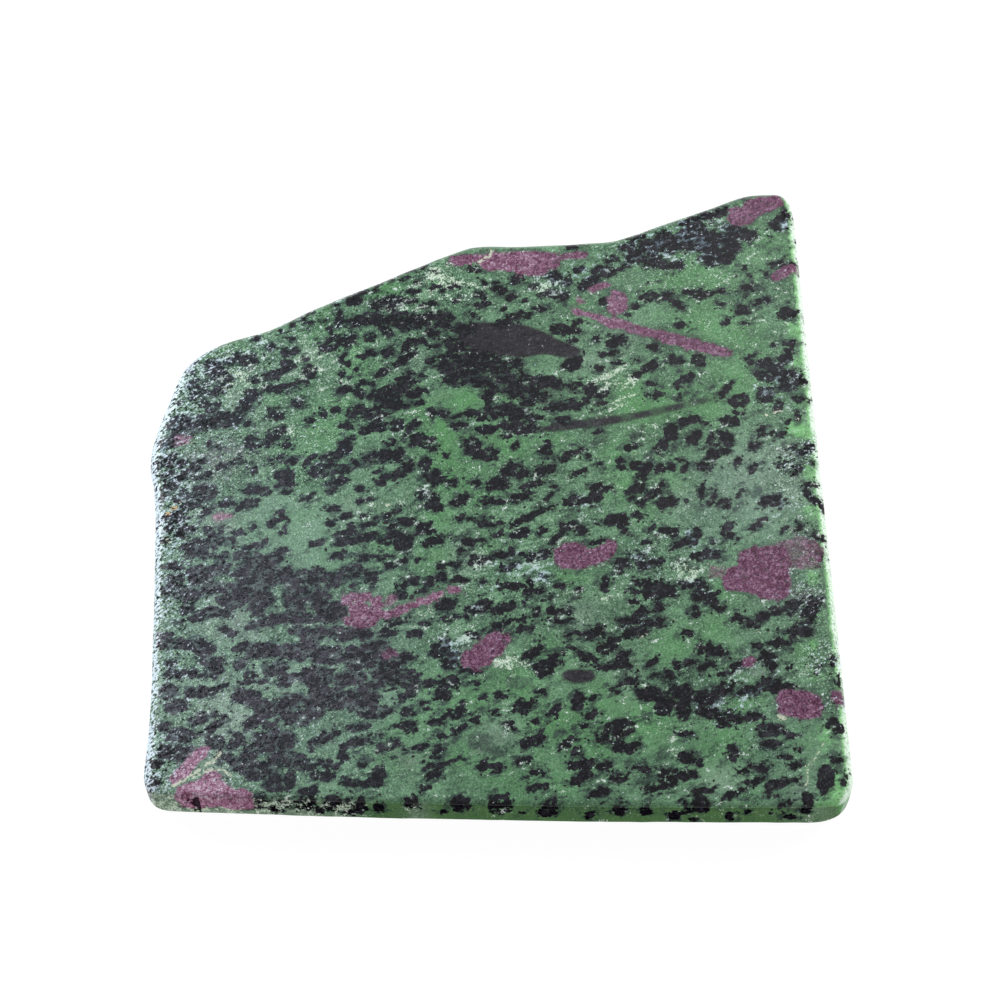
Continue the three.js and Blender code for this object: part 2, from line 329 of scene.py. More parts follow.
    (-17, 11, 1.2, 0.5, 15), (-9, 11.6, 0.7, 0.65, 0), (-7.2, 11.6, 0.8, 0.6, -20),
    (-5, 11.2, 0.8, 0.4, 15), (-3.5, 11.6, 0.65, 0.5, 0), (-2, 11.7, 0.55, 0.5, 0),
    (-22.5, 9.5, 1.3, 0.6, 10), (-17.8, 9.2, 1.5, 0.8, 5), (-14.5, 9.3, 1, 0.9, 0),
    (-19.7, 8.5, 0.8, 0.5, 0), (-12.4, 8.6, 1.8, 0.5, 50), (-5.5, 9.3, 0.8, 0.5, 0),
    (-22, 7.3, 0.9, 0.5, 0), (-11.4, 7, 1.3, 1, 40), (-9.5, 6.7, 0.8, 0.6, 15), (-9.2, 5.3, 0.8, 0.35, 0),
    (-15.6, 6.3, 0.9, 0.4, 40), (-22.7, 5.2, 1.5, 1.1, 70), (-24.2, 3.9, 1.7, 0.9, 15),
    (-17.3, 3.9, 2.3, 0.9, 20), (-14.2, 4.4, 1.1, 0.9, 80), (-2.8, 5.1, 1.3, 1.1, 70),
    (-0.4, 4.1, 1.6, 1, 12), (-7, 4.1, 0.35, 0.3, 0), (-25.5, 1.5, 2.2, 1.2, 15),
    (-22.7, 1.5, 1.3, 0.55, 15), (-20.7, 2.8, 0.6, 0.5, 0), (-17.2, 1.4, 0.7, 0.45, 15),
    (-13, 2, 1.3, 0.8, 45), (-10.2, 2.4, 1.3, 1, 70), (-9.3, 0.9, 1.5, 0.8, 10), (-7.8, 0.2, 1, 0.6, 10),
    (-16.2, 0.3, 0.8, 0.5, 0),
    # middle, upper half
    (12.4, 20.3, 1.7, 0.9, 10), (13.3, 21, 1.2, 0.7, 30), (12, 26.5, 2.3, 0.5, 5),
    (12.8, 24.8, 0.6, 0.4, 0), (16.4, 25.1, 0.7, 0.3, 25), (19.5, 24.7, 1.5, 0.8, 20),
    (18.3, 22.4, 1.5, 0.45, 15), (16.8, 19.6, 0.8, 0.5, 10), (19.9, 20.6, 0.7, 0.3, 10),
    (25.3, 23.4, 0.7, 0.5, 0), (24.7, 19.9, 1.6, 0.75, 30), (22.6, 18.4, 0.9, 0.5, 5),
    (23.1, 21.2, 0.5, 0.25, 0), (4.8, 17.2, 1.6, 1.2, 60), (3.5, 16, 1.8, 0.7, 5),
    (8, 17.1, 1.8, 0.9, -20), (10.4, 16.6, 1, 0.5, -10), (7, 14.7, 1.1, 0.9, 20),
    (5.5, 13.4, 1.1, 0.6, 15), (13.2, 16.4, 1.2, 0.65, 25), (15.3, 16, 1.2, 0.8, 30),
    (16.7, 14.9, 1.5, 0.7, 10), (14.3, 13.5, 1.3, 0.4, 45), (17, 13.3, 0.8, 0.35, 5),
    (10.3, 12.6, 2, 0.6, 10), (4, 11, 2.3, 0.8, 40), (1, 12, 1.5, 0.6, 50), (7.5, 10.9, 0.8, 0.35, 10),
    (11.3, 10.3, 1.4, 0.6, 0), (3.8, 8.7, 1.2, 0.8, -50), (6.3, 8.6, 1.1, 0.25, 10),
    (3.8, 5.8, 0.6, 0.35, 0), (2.7, 7.4, 0.4, 0.4, 0), (8.4, 4.9, 0.8, 0.7, 20),
    (8.5, 6.5, 0.7, 0.35, -20), (11.3, 4, 1.2, 0.65, 35), (13, 4.7, 1.6, 0.6, 20), (2.9, 1.8, 1.5, 1, 30),
    (4.4, 1.2, 1.3, 0.9, 0), (8.1, 1.5, 1.8, 0.8, 30), (13, 1, 1.3, 0.35, 25), (16.3, 2.6, 0.8, 0.45, 20),
    (14.7, 3.7, 0.4, 0.4, 0), (16.4, 8.2, 0.6, 0.35, 20), (21.1, 5.6, 1.2, 0.7, 40),
    (19.9, 2.8, 0.8, 0.8, 0), (21.9, 2.3, 0.9, 0.8, 0), (23.4, 1.4, 1.6, 0.8, 50),
    (25.9, 1.7, 0.9, 0.9, 0), (26.2, 5.8, 1.3, 0.65, 60), (25.4, 14.8, 1.1, 0.4, 15),
    (25, 16.6, 1, 0.35, 10),
    # right, upper half
    (28.8, 21.2, 1.1, 0.8, -20), (32.4, 21, 1.2, 1.1, 0), (40.3, 21, 0.6, 0.7, 0),
    (40.9, 22, 0.7, 0.25, 50), (44.6, 23.8, 0.5, 0.4, 0), (46.8, 24.2, 1.3, 0.3, 20),
    (46.8, 22.6, 0.8, 0.5, 30), (46, 21.3, 1.3, 0.6, 0), (43, 20.5, 1.3, 0.7, 0),
    (44.3, 19.1, 1.2, 1.1, 0), (41.6, 19, 0.5, 0.5, 0), (43, 18.1, 1, 0.6, 0), (46, 18, 2.2, 1.1, -15),
    (48, 17.5, 1.5, 0.6, -10), (45.7, 16.1, 1.3, 0.5, 10), (42.5, 15.1, 0.9, 0.7, 70),
    (44.5, 12.7, 0.9, 0.5, 30), (47.7, 14.1, 0.9, 0.7, 10), (49.1, 14.1, 0.6, 0.3, 0),
    (47.5, 11, 0.7, 0.4, 90), (45.8, 10.2, 0.8, 0.25, 25), (29.5, 17.3, 1.5, 0.6, 35),
    (30.8, 17.8, 0.9, 0.35, 50), (29, 14.8, 0.7, 0.4, 80), (36.5, 16.1, 1.3, 0.45, 50),
    (35.6, 15, 0.5, 0.5, 0), (38.3, 13.8, 1.3, 1.1, 20), (38.6, 11.6, 1, 0.2, 0),
    (29.8, 10.2, 0.8, 0.8, 0), (31.3, 10.5, 0.9, 0.7, 0), (36.9, 10.2, 1.4, 0.6, 15),
    (33, 9.8, 0.35, 0.3, 0), (27.8, 8.2, 1.5, 1, 70), (31.3, 7.2, 1.4, 0.9, 65),
    (34.3, 7.5, 1.3, 0.65, 70), (36, 7, 1.6, 1.2, 75), (41.6, 8.3, 1, 0.7, 70), (43.3, 7.8, 0.6, 0.5, 0),
    (44.7, 7.9, 0.8, 0.5, 20), (40.4, 6, 0.9, 0.7, 40), (33.9, 4.1, 1.3, 0.9, 70),
    (28.6, 3.3, 0.4, 0.35, 0), (29.6, 1.9, 1.1, 0.35, 50), (27.5, 2.1, 0.7, 0.7, 0),
    (32.6, 1.9, 1, 0.9, 60), (37.7, 3.1, 1.1, 0.45, 50), (40.2, 2, 1.2, 0.5, 60),
    (48.6, 5.5, 1.6, 0.6, 35), (49.3, 3.4, 0.6, 0.25, -30), (47, 1.6, 0.9, 0.9, 0),
    (44.5, 2.3, 0.8, 0.4, 30), (46, 5.6, 0.6, 0.3, 10), (35.7, 4.9, 0.9, 0.5, 20),
    (-0.7, 8.7, 1.6, 0.7, 0), (-9.3, 25.9, 1.4, 0.7, 0), (5.6, 8.8, 1.5, 0.8, 0),
    (-14.3, 0.4, 1.3, 0.8, 30),
    # front left, above the pale corner
    (-35.4, -2, 2.2, 0.7, -5), (-33.3, -1.3, 0.5, 0.25, 0), (-31.2, -1.3, 1.5, 1.2, 40),
    (-44, -2.5, 2, 1.3, 10), (-43.1, -5.4, 1.2, 0.6, 50), (-40, -4, 1.3, 0.6, 20),
    (-37, -4.5, 2, 0.6, 30), (-32, -5.6, 0.8, 0.4, 20), (-32.6, -7.5, 1, 0.6, 30),
    (-31.5, -6.8, 0.7, 0.35, 10), (-33.5, -7.9, 0.4, 0.3, 0), (-31.2, -8.3, 0.5, 0.3, 80),
    (-31.4, -9.2, 0.5, 0.3, 0), (-37.8, -9.2, 0.8, 0.6, 0), (-36, -8.3, 0.5, 0.4, 90),
    (-28.2, -3.7, 0.9, 0.45, 40), (-27.2, -3.2, 0.6, 0.5, 0), (-46.2, -8.9, 1.4, 0.9, 30),
    (-48.5, -8.3, 0.9, 0.7, 20), (-47.4, -7.1, 1.4, 0.4, 10), (-42.5, -9, 1.1, 0.7, -30),
    (-40.9, -9, 0.6, 0.5, 0), (-40.7, -10.6, 0.9, 0.5, 0), (-44, -11.3, 2.6, 0.9, 10),
    (-38.7, -10.9, 0.5, 0.45, -30), (-42.6, -12.9, 1.2, 0.4, 5), (-40.5, -13.1, 1.3, 0.5, 10),
    (-45.3, -13.2, 0.9, 0.7, 0), (-35.5, -11.4, 1.8, 0.45, 20), (-34.2, -10.6, 0.5, 0.4, 0),
    (-37.3, -12.9, 1.2, 0.45, 10), (-43.5, -16.8, 1.9, 1.6, 20), (-47.2, -18.8, 1.8, 0.8, 0),
    (-45.3, -19.6, 2, 0.7, -5), (-47.3, -17.1, 1.2, 0.45, 10), (-48, -15, 1.5, 0.45, 0),
    (-36.2, -15.9, 2.1, 1.4, 10), (-35, -13.9, 2.2, 1, 10), (-32.7, -13.3, 1.6, 0.7, 20),
    (-31.6, -12.2, 0.9, 0.6, 20), (-32, -16.2, 2.6, 1.3, 10), (-35.2, -18, 2.5, 1, 5),
    (-29, -17, 2, 1.2, 0), (-34.2, -20.4, 2.2, 1.3, 10), (-34.6, -22.2, 1.2, 0.7, -40),
    (-28.8, -19, 2, 0.8, 0), (-29, -21, 1.5, 1, 0), (-38.5, -20.2, 2.4, 0.9, 10),
    (-41.5, -22.5, 2.6, 0.6, 0), (-45.2, -21.8, 1, 0.7, 0), (-46, -23.7, 0.7, 0.4, 0),
    (-32.3, -23.6, 1.6, 0.8, 20), (-29.7, -23.3, 1.4, 0.9, 0), (-27.3, -23.5, 1.1, 0.7, 0),
    (-35, -24.6, 1.2, 0.45, 30), (-28, -25.6, 1.5, 0.7, 0), (-39.7, -25.3, 0.8, 0.5, 0),
    (-38.4, -25.9, 1.1, 0.55, 0), (-48, -26.5, 1.2, 0.5, 0), (-40.5, -15.4, 1.2, 0.8, 0),
    # front left corner
    (-48, -27.7, 1.2, 0.8, 0), (-45, -27.8, 2, 0.8, 0), (-42.2, -28.6, 1.5, 1.3, -30),
    (-41.3, -30.4, 1.4, 0.9, -20), (-47, -30.9, 0.9, 0.35, 0), (-37, -28.2, 1.5, 0.7, 20),
    (-33.5, -28.8, 3.1, 1.1, -5), (-29, -29, 2.4, 1.3, 0), (-36.6, -30.7, 1.3, 0.7, 30),
    (-40, -31.4, 1.5, 0.8, 70), (-35.4, -32.6, 1.1, 0.45, 15), (-36.2, -33.8, 1.1, 0.35, 10),
    (-31.5, -31.8, 2, 0.9, 15), (-46.6, -32.6, 1, 0.5, 0), (-44.3, -32.3, 1.3, 0.35, -5),
    (-42, -32.5, 1, 0.45, 0), (-42.5, -35.4, 2.3, 0.9, 5), (-47, -35.5, 1.1, 1, 0),
    (-45.9, -38, 1.7, 0.9, 20), (-39.2, -34.3, 0.8, 0.3, 20), (-41.9, -39.6, 1.9, 0.8, 20),
    (-40.2, -40.9, 2, 0.6, 40), (-35.5, -36.5, 2.6, 1.1, -15), (-31, -38.2, 3.4, 1.1, 15),
    (-28.5, -36.5, 2, 0.8, 10), (-44.8, -42.3, 1.9, 1, 0), (-46, -45, 2.4, 1, -10),
    (-44, -44.6, 1, 0.6, 0), (-39.8, -43.5, 1.4, 0.9, 0), (-36.6, -43.3, 1.5, 0.7, 45),
    (-38.5, -45.5, 1.1, 0.7, 30), (-31.6, -43, 3, 1.5, 10), (-29.6, -45.8, 2.4, 1.1, -10),
    (-33.5, -47.6, 2.4, 1.4, 5), (-30.3, -49.8, 2.3, 1.2, 0), (-36.5, -46.4, 1.6, 0.8, 30),
    (-36.7, -42.3, 0.5, 0.4, 0), (-32, -40.8, 1, 0.4, 20), (-34.4, -44.8, 1.6, 0.9, 20),
    (-47.6, -41, 0.9, 0.6, 0), (-27.5, -39.3, 2.6, 1.2, 15), (-25.6, -38.2, 1.4, 0.8, 30),
    (-29.2, -33.4, 2.2, 0.9, 10), (-24.3, -25.8, 3.4, 0.8, 5), (-21.5, -26.6, 1.4, 0.6, 0),
    (37.6, -35.2, 1.3, 0.8, 0), (39.6, -34.8, 1, 0.7, 30), (36.4, -31, 1.2, 0.6, 20),
    (-12, -33.4, 1.6, 0.9, 30), (-9.6, -34, 1.2, 0.5, 10), (8, -31.2, 1.4, 0.8, 20),
    (-3.1, 6.3, 1.2, 0.9, 40), (-4.4, 9.4, 1.2, 0.6, 0), (3.2, 20.6, 1.6, 0.7, 0),
    (42.8, 14.6, 1.2, 0.8, 20), (2.5, 8.6, 1.3, 1.2, 0), (-2.2, 4.4, 1.4, 0.9, 0),
    (-41.8, -18.6, 2.2, 1, 10), (-36.8, -18, 1.8, 0.8, 20), (-48.3, -46.8, 1.2, 0.8, 0),
    (-48.4, -49.6, 0.9, 0.7, 0), (-33.2, -33.9, 0.8, 0.4, 20),
    # left of the middle
    (-23.7, -0.9, 1.9, 0.8, 25), (-16.8, -0.7, 0.8, 0.5, 0), (-20, -1.8, 0.7, 0.4, 0),
    (-19.3, -3.7, 1.1, 0.5, 20), (-24.2, -5.2, 1.2, 0.45, 5), (-22.6, -6.5, 1.5, 0.35, 20),
    (-24, -7.4, 1, 0.5, 20), (-19.2, -6.1, 0.8, 0.4, 0), (-17.6, -7.1, 0.8, 0.6, 60),
    (-18.9, -7.7, 0.9, 0.45, 30), (-21.2, -8.1, 0.6, 0.3, 0), (-15, -5.9, 1.5, 0.35, 35),
    (-15.9, -7.3, 0.5, 0.25, 0), (-22.3, -9.4, 1.7, 0.4, 10), (-20.3, -10.3, 3.3, 0.8, 10),
    (-14.9, -8.2, 0.9, 0.45, 10), (-12.8, -7.4, 1.3, 0.7, -10), (-10.3, -7.8, 1.4, 0.5, 0),
    (-9.9, -8.9, 1.4, 0.6, 0), (-14, -9.9, 1.8, 1, 0), (-13.4, -11.2, 1.2, 0.8, 0),
    (-16, -10.6, 0.9, 0.3, 20), (-8.5, -10.6, 1.8, 0.6, 15), (-5.9, -10.1, 0.8, 0.25, 0),
    (-3.5, -10.8, 1.2, 0.6, 0), (-4.3, -12.1, 0.6, 0.35, 0), (-1.2, -10.4, 0.8, 0.35, 0),
    (-9.4, -2.8, 1.4, 1.1, -40), (-8.7, -4.5, 1.3, 1, 0), (-10.4, -1.8, 0.7, 0.45, 0),
    (-10.5, -4.4, 0.5, 0.35, 0), (-4.8, -3.6, 1.4, 0.65, 15), (-8.6, -0.3, 1.2, 0.7, 0),
    (-5.9, -0.6, 0.8, 0.5, 0), (-2.2, -0.5, 0.9, 0.5, 0), (-2.1, -1.4, 0.5, 0.35, 0),
    (-0.5, -4, 0.9, 0.3, 10), (-4.5, -6.4, 0.7, 0.3, 30), (-2.9, -6.6, 0.5, 0.3, 0),
    (-0.8, -7.5, 1.3, 0.4, 10), (-17.5, -13.3, 2.4, 0.35, 10), (-13.9, -14.1, 1.7, 0.45, 15),
    (-10.9, -13.7, 0.6, 0.35, 0), (-6.2, -14.7, 1.6, 0.45, 10), (-1.7, -13.7, 1.9, 0.6, 15),
    (-20.8, -15.8, 1.7, 0.9, 15), (-17.8, -16.3, 1.1, 0.75, -20), (-17.7, -17.7, 0.7, 0.35, 0),
    (-23.5, -17.3, 1.8, 0.9, 20), (-26.2, -16.8, 1.5, 1.2, 60), (-12, -17, 1.3, 0.9, 0),
    (-13.3, -17.9, 0.8, 0.4, 0), (-8.1, -17, 2, 0.6, 20), (-9.3, -17.7, 0.9, 0.5, 0),
    (-5, -17, 1.1, 0.6, 0), (-3.7, -17.2, 0.6, 0.35, 0), (-13.4, -19.7, 1.1, 0.8, -30),
    (-11, -19.3, 0.9, 0.25, 25), (-6.6, -21.3, 1.4, 0.8, 10), (-1.5, -21.7, 1.7, 1.1, 30),
    (-3.6, -22.4, 0.9, 0.6, 80), (-0.8, -17.7, 0.7, 0.35, 0), (-14, -24.1, 2.3, 0.5, 15),
    (-23.5, -22.5, 2.1, 1.4, 20), (-25.6, -20.2, 1.6, 1.3, 60), (-20, -26.2, 2.4, 0.7, 0),
    (-9.5, -24.4, 0.7, 0.4, 0), (-11.2, -26, 1.1, 0.6, 0), (-6, -23.4, 1.3, 0.4, 20),
    (-2.7, -26.2, 1.1, 0.5, 0), (-15.4, -25.9, 1.5, 0.7, 10), (-22.9, -13, 1.4, 0.5, 10),
    (-26, -11, 1.3, 0.5, 20), (-26.3, -27, 1.6, 0.7, 0),
    # front, left of the middle
    (-24, -29.5, 3, 1.3, -5), (-19, -30, 2.8, 1.6, 0), (-15.4, -30.4, 2.4, 1.5, -10),
    (-14.9, -32.8, 2.2, 1.3, -15), (-17, -28, 2, 0.9, 0), (-12.5, -29.7, 1, 0.6, 0),
    (-25.5, -33, 2.4, 1.5, 0), (-24, -36.6, 3, 1.6, 0), (-19, -36.5, 2.5, 1.5, 20),
    (-17, -38.5, 2.4, 1, 0), (-20.3, -33.2, 2.2, 1, 10), (-17, -34.4, 1.7, 0.8, 20),
    (-11.8, -35.4, 2.2, 0.7, 45), (-6.7, -34, 2.2, 0.8, 0), (-7, -35.7, 1.3, 0.9, -40),
    (-5.6, -33.4, 0.8, 0.5, 0), (-8, -28.5, 1.3, 0.7, 70), (-5.6, -29.6, 1.2, 0.7, 20),
    (-6, -31, 1, 0.6, 10), (-2.8, -31.9, 1.5, 0.45, 0), (-2.8, -33.9, 0.8, 0.25, -15),
    (-9.9, -37.6, 0.7, 0.5, 0), (-12.3, -38.6, 0.9, 0.7, 0), (-5.2, -38.8, 1.9, 0.6, 10),
    (-4.4, -37.6, 0.8, 0.3, 40), (-8, -39.9, 1, 0.7, 20), (-2.4, -39.7, 1.1, 0.5, 20),
    (-1.3, -36.3, 0.5, 0.2, 20), (-4.6, -41.2, 1.5, 0.6, 35), (-7.4, -42.3, 0.7, 0.5, 0),
    (-12.2, -41, 1.5, 0.7, 0), (-13.9, -40.8, 0.5, 0.25, 0), (-19.2, -41, 1.7, 0.6, 5),
    (-24.2, -42.7, 2.4, 0.7, 30), (-19.6, -43.5, 2.2, 0.8, 20), (-16.5, -42.1, 0.6, 0.3, 0),
    (-15, -44, 2, 0.6, 20), (-10.4, -44.1, 1.3, 0.35, 20), (-12.4, -44.6, 0.7, 0.25, 0),
    (-7.8, -44.6, 0.9, 0.45, 20), (-7.8, -45.7, 0.7, 0.4, 0), (-1.1, -47, 1, 0.7, 60),
    (-6.2, -46.6, 1.8, 0.35, 25), (-8.6, -47.2, 1, 0.3, 10), (-8.4, -48.6, 1.1, 0.7, 0),
    (-9.2, -50.5, 0.8, 0.4, 0), (-21.2, -45.7, 0.7, 0.5, 0), (-23.3, -46.8, 2, 0.5, -10),
    (-26.5, -47.1, 1.3, 1, 0), (-16.3, -48.8, 1.6, 1.1, 80), (-15.8, -47.4, 0.9, 0.5, 0),
    (-18.5, -46.7, 0.8, 0.4, 30), (-20, -49.6, 1.4, 0.6, 0), (-18.2, -49.8, 0.7, 0.4, 0),
    (-24.3, -48.6, 1.8, 0.6, 0), (-26, -51, 1.5, 0.7, 0),
    # middle, lower half
    (1, -0.9, 1.9, 1, 10), (6, -0.9, 1.8, 0.6, 25), (4.5, -3.1, 2.2, 0.8, 20), (1.5, -4.3, 1, 0.45, 0),
    (0.2, -4, 0.4, 0.3, 0), (8.1, -3.3, 1.6, 0.25, 45), (8.3, -5.2, 0.8, 0.35, 15),
    (9.4, -5, 0.5, 0.25, 0), (5.3, -6.7, 2.6, 0.45, 30), (1.4, -7.6, 0.7, 0.35, 0),
    (9.3, -1.2, 0.5, 0.2, 0), (4.3, -9.4, 1.5, 0.7, 25), (7.6, -9, 0.9, 0.45, 60),
    (12.9, -8.4, 1.6, 0.9, -10), (11.2, -8.2, 0.7, 0.5, 0), (10.3, -9.9, 1.3, 0.5, 30),
    (16, -10.8, 1.2, 0.4, 15), (13.4, -3.7, 2.7, 0.8, 10), (15.7, -2.9, 1.6, 1, 60),
    (17.5, -1.5, 1, 0.45, 20), (16, -1.3, 1.1, 0.7, 0), (22, -1.7, 1.8, 0.9, 45),
    (24.3, -2.7, 2.8, 0.55, 45), (26.6, -4, 1.3, 0.9, 30), (19, -7.1, 1.8, 1, 10),
    (19.9, -8.6, 1.1, 0.45, -40), (16.2, -7.5, 0.9, 0.25, 0), (22.3, -6.1, 1.1, 0.35, -10),
    (24.3, -8.3, 0.9, 0.25, 40), (23.5, -10.7, 0.8, 0.3, -30), (26.2, -8.9, 1.1, 0.5, -20),
    (1.5, -12.9, 1.2, 0.5, 0), (3.2, -12.6, 0.8, 0.5, 80), (4.5, -12.8, 0.7, 0.5, 0),
    (6, -13.3, 0.7, 0.5, 70), (7.7, -12.7, 1.2, 0.5, 30), (2.8, -15.1, 1.4, 0.45, 25),
    (7.8, -16.6, 0.8, 0.4, -15), (5.8, -17.2, 0.8, 0.45, -50), (3, -18.1, 2.1, 0.6, 5),
    (5.8, -19.3, 1, 0.7, 0), (7.2, -19, 0.8, 0.4, 20), (10.4, -18.3, 0.8, 0.4, 0),
    (13.1, -19.1, 0.8, 0.4, 30), (8.4, -20.1, 0.8, 0.2, 5), (5.1, -20.9, 0.6, 0.25, 20),
    (1.9, -21.8, 1.9, 0.8, 25), (10, -22.2, 1.9, 0.6, -5), (9.9, -23.9, 1.7, 0.35, 0),
    (6.8, -22.6, 0.8, 0.5, 70), (4.6, -23.8, 0.7, 0.45, 0), (1.8, -24.4, 1.4, 0.5, 20),
    (4.9, -25.3, 1.1, 0.5, 10), (0.5, -25.9, 1.3, 0.35, 10), (16.9, -17.8, 1.3, 0.5, 75),
    (19.7, -14.2, 1, 0.6, 0), (19.3, -15.7, 0.5, 0.4, 0), (21.9, -17.3, 0.8, 0.6, 0),
    (24, -14.4, 1.8, 0.6, 10), (22, -13.2, 1, 0.3, 0), (24.5, -18.6, 1.9, 1.3, 0),
    (26.2, -19, 1.3, 0.9, 0), (20.9, -18.8, 0.8, 0.4, 0), (21, -20.8, 0.9, 0.5, 0),
    (24.8, -21.3, 0.9, 0.6, 80), (22.5, -22.4, 0.7, 0.5, 60), (20.5, -23.8, 1.9, 0.6, 30),
    (23.8, -24.1, 2, 0.6, 10), (15.3, -25.7, 1.6, 0.7, 10), (11.7, -26.3, 0.8, 0.25, 10),
    (13.2, -26.1, 0.6, 0.3, 0), (21.3, -25.9, 1.6, 0.7, 0), (19, -26.7, 2, 0.4, 15),
    (0.8, -9.4, 1, 0.3, 20),
    # front, right of the middle
    (6.2, -29, 1.9, 0.7, 40), (9.7, -29.5, 1.4, 0.5, 20), (13.2, -29, 2.2, 0.5, -25),
    (14.3, -30.1, 1.3, 0.7, 0), (17.2, -27.9, 1.5, 1.1, 45), (17.9, -31.2, 2.6, 0.6, 5),
    (19.6, -29.8, 1.1, 0.8, 0), (20.3, -31.5, 0.7, 0.35, 0), (7.7, -32, 1.4, 0.9, 20),
    (9, -30.7, 1.3, 0.8, 0), (1.4, -36, 1.2, 0.5, 10), (7.4, -35.3, 0.7, 0.4, 0),
    (4.6, -37.7, 1.35, 1.15, 0), (6, -36.8, 0.6, 0.4, 0), (0.5, -38.5, 0.8, 0.4, 0),
    (12.9, -36.7, 1.5, 0.8, 75), (15.2, -36.2, 0.9, 0.3, 30), (9.4, -38.3, 1.5, 0.5, 40),
    (6.3, -40, 0.7, 0.4, 0), (2.6, -40.5, 0.7, 0.5, 0), (3.6, -41.2, 0.4, 0.2, 0),
    (14.7, -39.1, 1, 0.45, 30), (13.4, -40.7, 0.7, 0.4, 0), (18.8, -41.3, 2.3, 1.2, 15),
    (17, -42.4, 1.6, 0.8, 0), (18.9, -44, 1, 0.7, 0), (20.7, -44.2, 1, 0.55, 30),
    (19.5, -40.5, 1.3, 0.7, 0), (6, -42.9, 1.8, 0.8, 20), (7, -41.9, 0.8, 0.5, 60),
    (11, -43.4, 1.4, 0.5, 35), (12.6, -44.8, 0.8, 0.5, 80), (4.8, -46.1, 1.3, 0.6, 15),
    (0.6, -47.2, 1, 0.7, 0), (13.2, -46.9, 2, 0.9, 10), (13, -49, 1.7, 0.7, 30),
    (16.4, -46.9, 1.3, 0.45, 10), (17.5, -48, 0.7, 0.4, -20), (18.7, -49.1, 1.1, 0.5, 10),
    (20, -47.8, 0.6, 0.2, 90), (6.8, -47.8, 1, 0.4, 0), (7, -50.1, 1.4, 0.4, 5),
    (15.8, -51.2, 1.4, 0.6, 20), (22, -47.6, 1.1, 0.45, -15), (26, -48.5, 1.8, 0.7, 0),
    (23, -50.4, 1.6, 0.7, 0), (25.5, -49.9, 1.4, 0.5, 0), (23.5, -30.7, 1, 0.35, 35),
    (20.2, -33.6, 1.1, 0.35, 15), (18.9, -34.4, 0.5, 0.25, 30), (18, -35.2, 0.9, 0.35, 0),
    (26, -32.8, 0.8, 0.7, 0), (23.3, -35.9, 2, 0.9, -10), (25.2, -37.8, 1.7, 1.3, 70),
    (26.8, -35.9, 1.4, 1, 70), (24.3, -32.8, 0.4, 0.3, 0),
    # right, lower half
    (32.1, -2.1, 1.1, 0.45, 65), (33.6, -3.1, 1.2, 0.4, 65), (35.5, -4.1, 1.1, 0.7, 0),
    (42.4, -3.8, 1.9, 0.8, 0), (43.9, -4.3, 0.7, 0.5, 0), (38, -2.4, 0.9, 0.35, 65),
    (29.6, -3.5, 0.35, 0.3, 0), (35.8, -8.6, 1.5, 0.65, 78), (36.5, -9.7, 0.9, 0.5, -20),
    (40.5, -7.6, 1.5, 0.5, 40), (30.4, -9.9, 1.7, 1.1, 65), (28.5, -11.3, 1.6, 0.5, 40),
    (27.5, -9, 0.9, 0.7, 60), (32.9, -12.9, 1.6, 0.7, 0), (31, -13.3, 0.7, 0.45, 0),
    (33.4, -10.9, 0.4, 0.3, 0), (44.5, -8.3, 0.6, 0.25, 40), (46.5, -8.4, 0.9, 0.4, 40),
    (48.3, -2.6, 0.9, 0.55, 60), (49.4, -3.8, 0.7, 0.5, 0), (48.8, -1, 0.9, 0.4, 0),
    (49.3, -9.9, 1, 0.5, -20), (49.6, -13.1, 1, 0.4, 85), (31.2, -17.9, 1.2, 0.8, 0),
    (29.4, -18, 1.2, 0.5, 0), (31.9, -19.6, 2, 0.7, 5), (32.8, -21, 1, 0.3, -10),
    (34, -21.8, 0.7, 0.5, 0), (30.4, -22.2, 1, 0.65, 70), (29.2, -25.7, 1, 0.55, 0),
    (43.2, -22.1, 2.2, 0.8, 10), (40.5, -23.2, 1.3, 0.9, 20), (45, -21, 1.1, 0.45, 10),
    (37.9, -23.9, 1.9, 0.6, -20), (36.2, -23.7, 0.7, 0.35, 0), (47.5, -22.4, 1.7, 1, 70),
    (45.7, -25.7, 1.9, 0.8, 0), (47, -25.2, 0.9, 0.5, 0), (48.6, -20.6, 1, 0.7, 0),
    # front right
    (32.7, -28.7, 2.3, 1, -15), (29.2, -30.7, 0.9, 0.5, 20), (31.8, -31.2, 1.1, 0.4, 20),
    (27.4, -31, 0.8, 0.6, 80), (34.3, -32.4, 1, 0.35, 0), (39.3, -27.9, 0.8, 0.3, 0),
    (42.7, -27.7, 1.7, 0.6, 0), (41.6, -31, 1.2, 0.4, 70), (44, -31.5, 0.5, 0.3, 0),
    (41.8, -34.3, 1.9, 1.1, -20), (44.2, -34.7, 0.7, 0.4, 0), (28.3, -37, 2.7, 1.1, 80),
    (31.7, -36.3, 2, 1.3, 0), (34, -35, 1.6, 0.7, 0), (32, -38.8, 1.9, 0.8, -10),
    (35.5, -39.4, 2.2, 0.7, 0), (38.2, -39.2, 1.6, 0.6, 10), (33.7, -40.4, 1.1, 0.45, 0),
    (28, -42, 1, 0.4, 15), (40.8, -41.5, 2, 0.9, 0), (40.4, -43.6, 1.6, 0.45, 0),
    (43.7, -42.3, 1.1, 0.35, 5), (35.1, -45.3, 1.1, 0.8, 60), (34.9, -44, 0.5, 0.3, 0),
    (44.3, -44.3, 0.4, 0.35, 0), (42.6, -45.7, 0.6, 0.3, -20), (44.1, -46.9, 1, 0.5, 25),
    (49.9, -45.9, 1.1, 0.4, 15), (48.3, -49.1, 2.1, 1.2, 80), (50.8, -48.2, 0.5, 0.4, 0),
    (50.7, -49.7, 0.5, 0.4, 0), (37.2, -47.5, 1.6, 0.4, 8), (39.2, -47.7, 0.7, 0.4, 0),
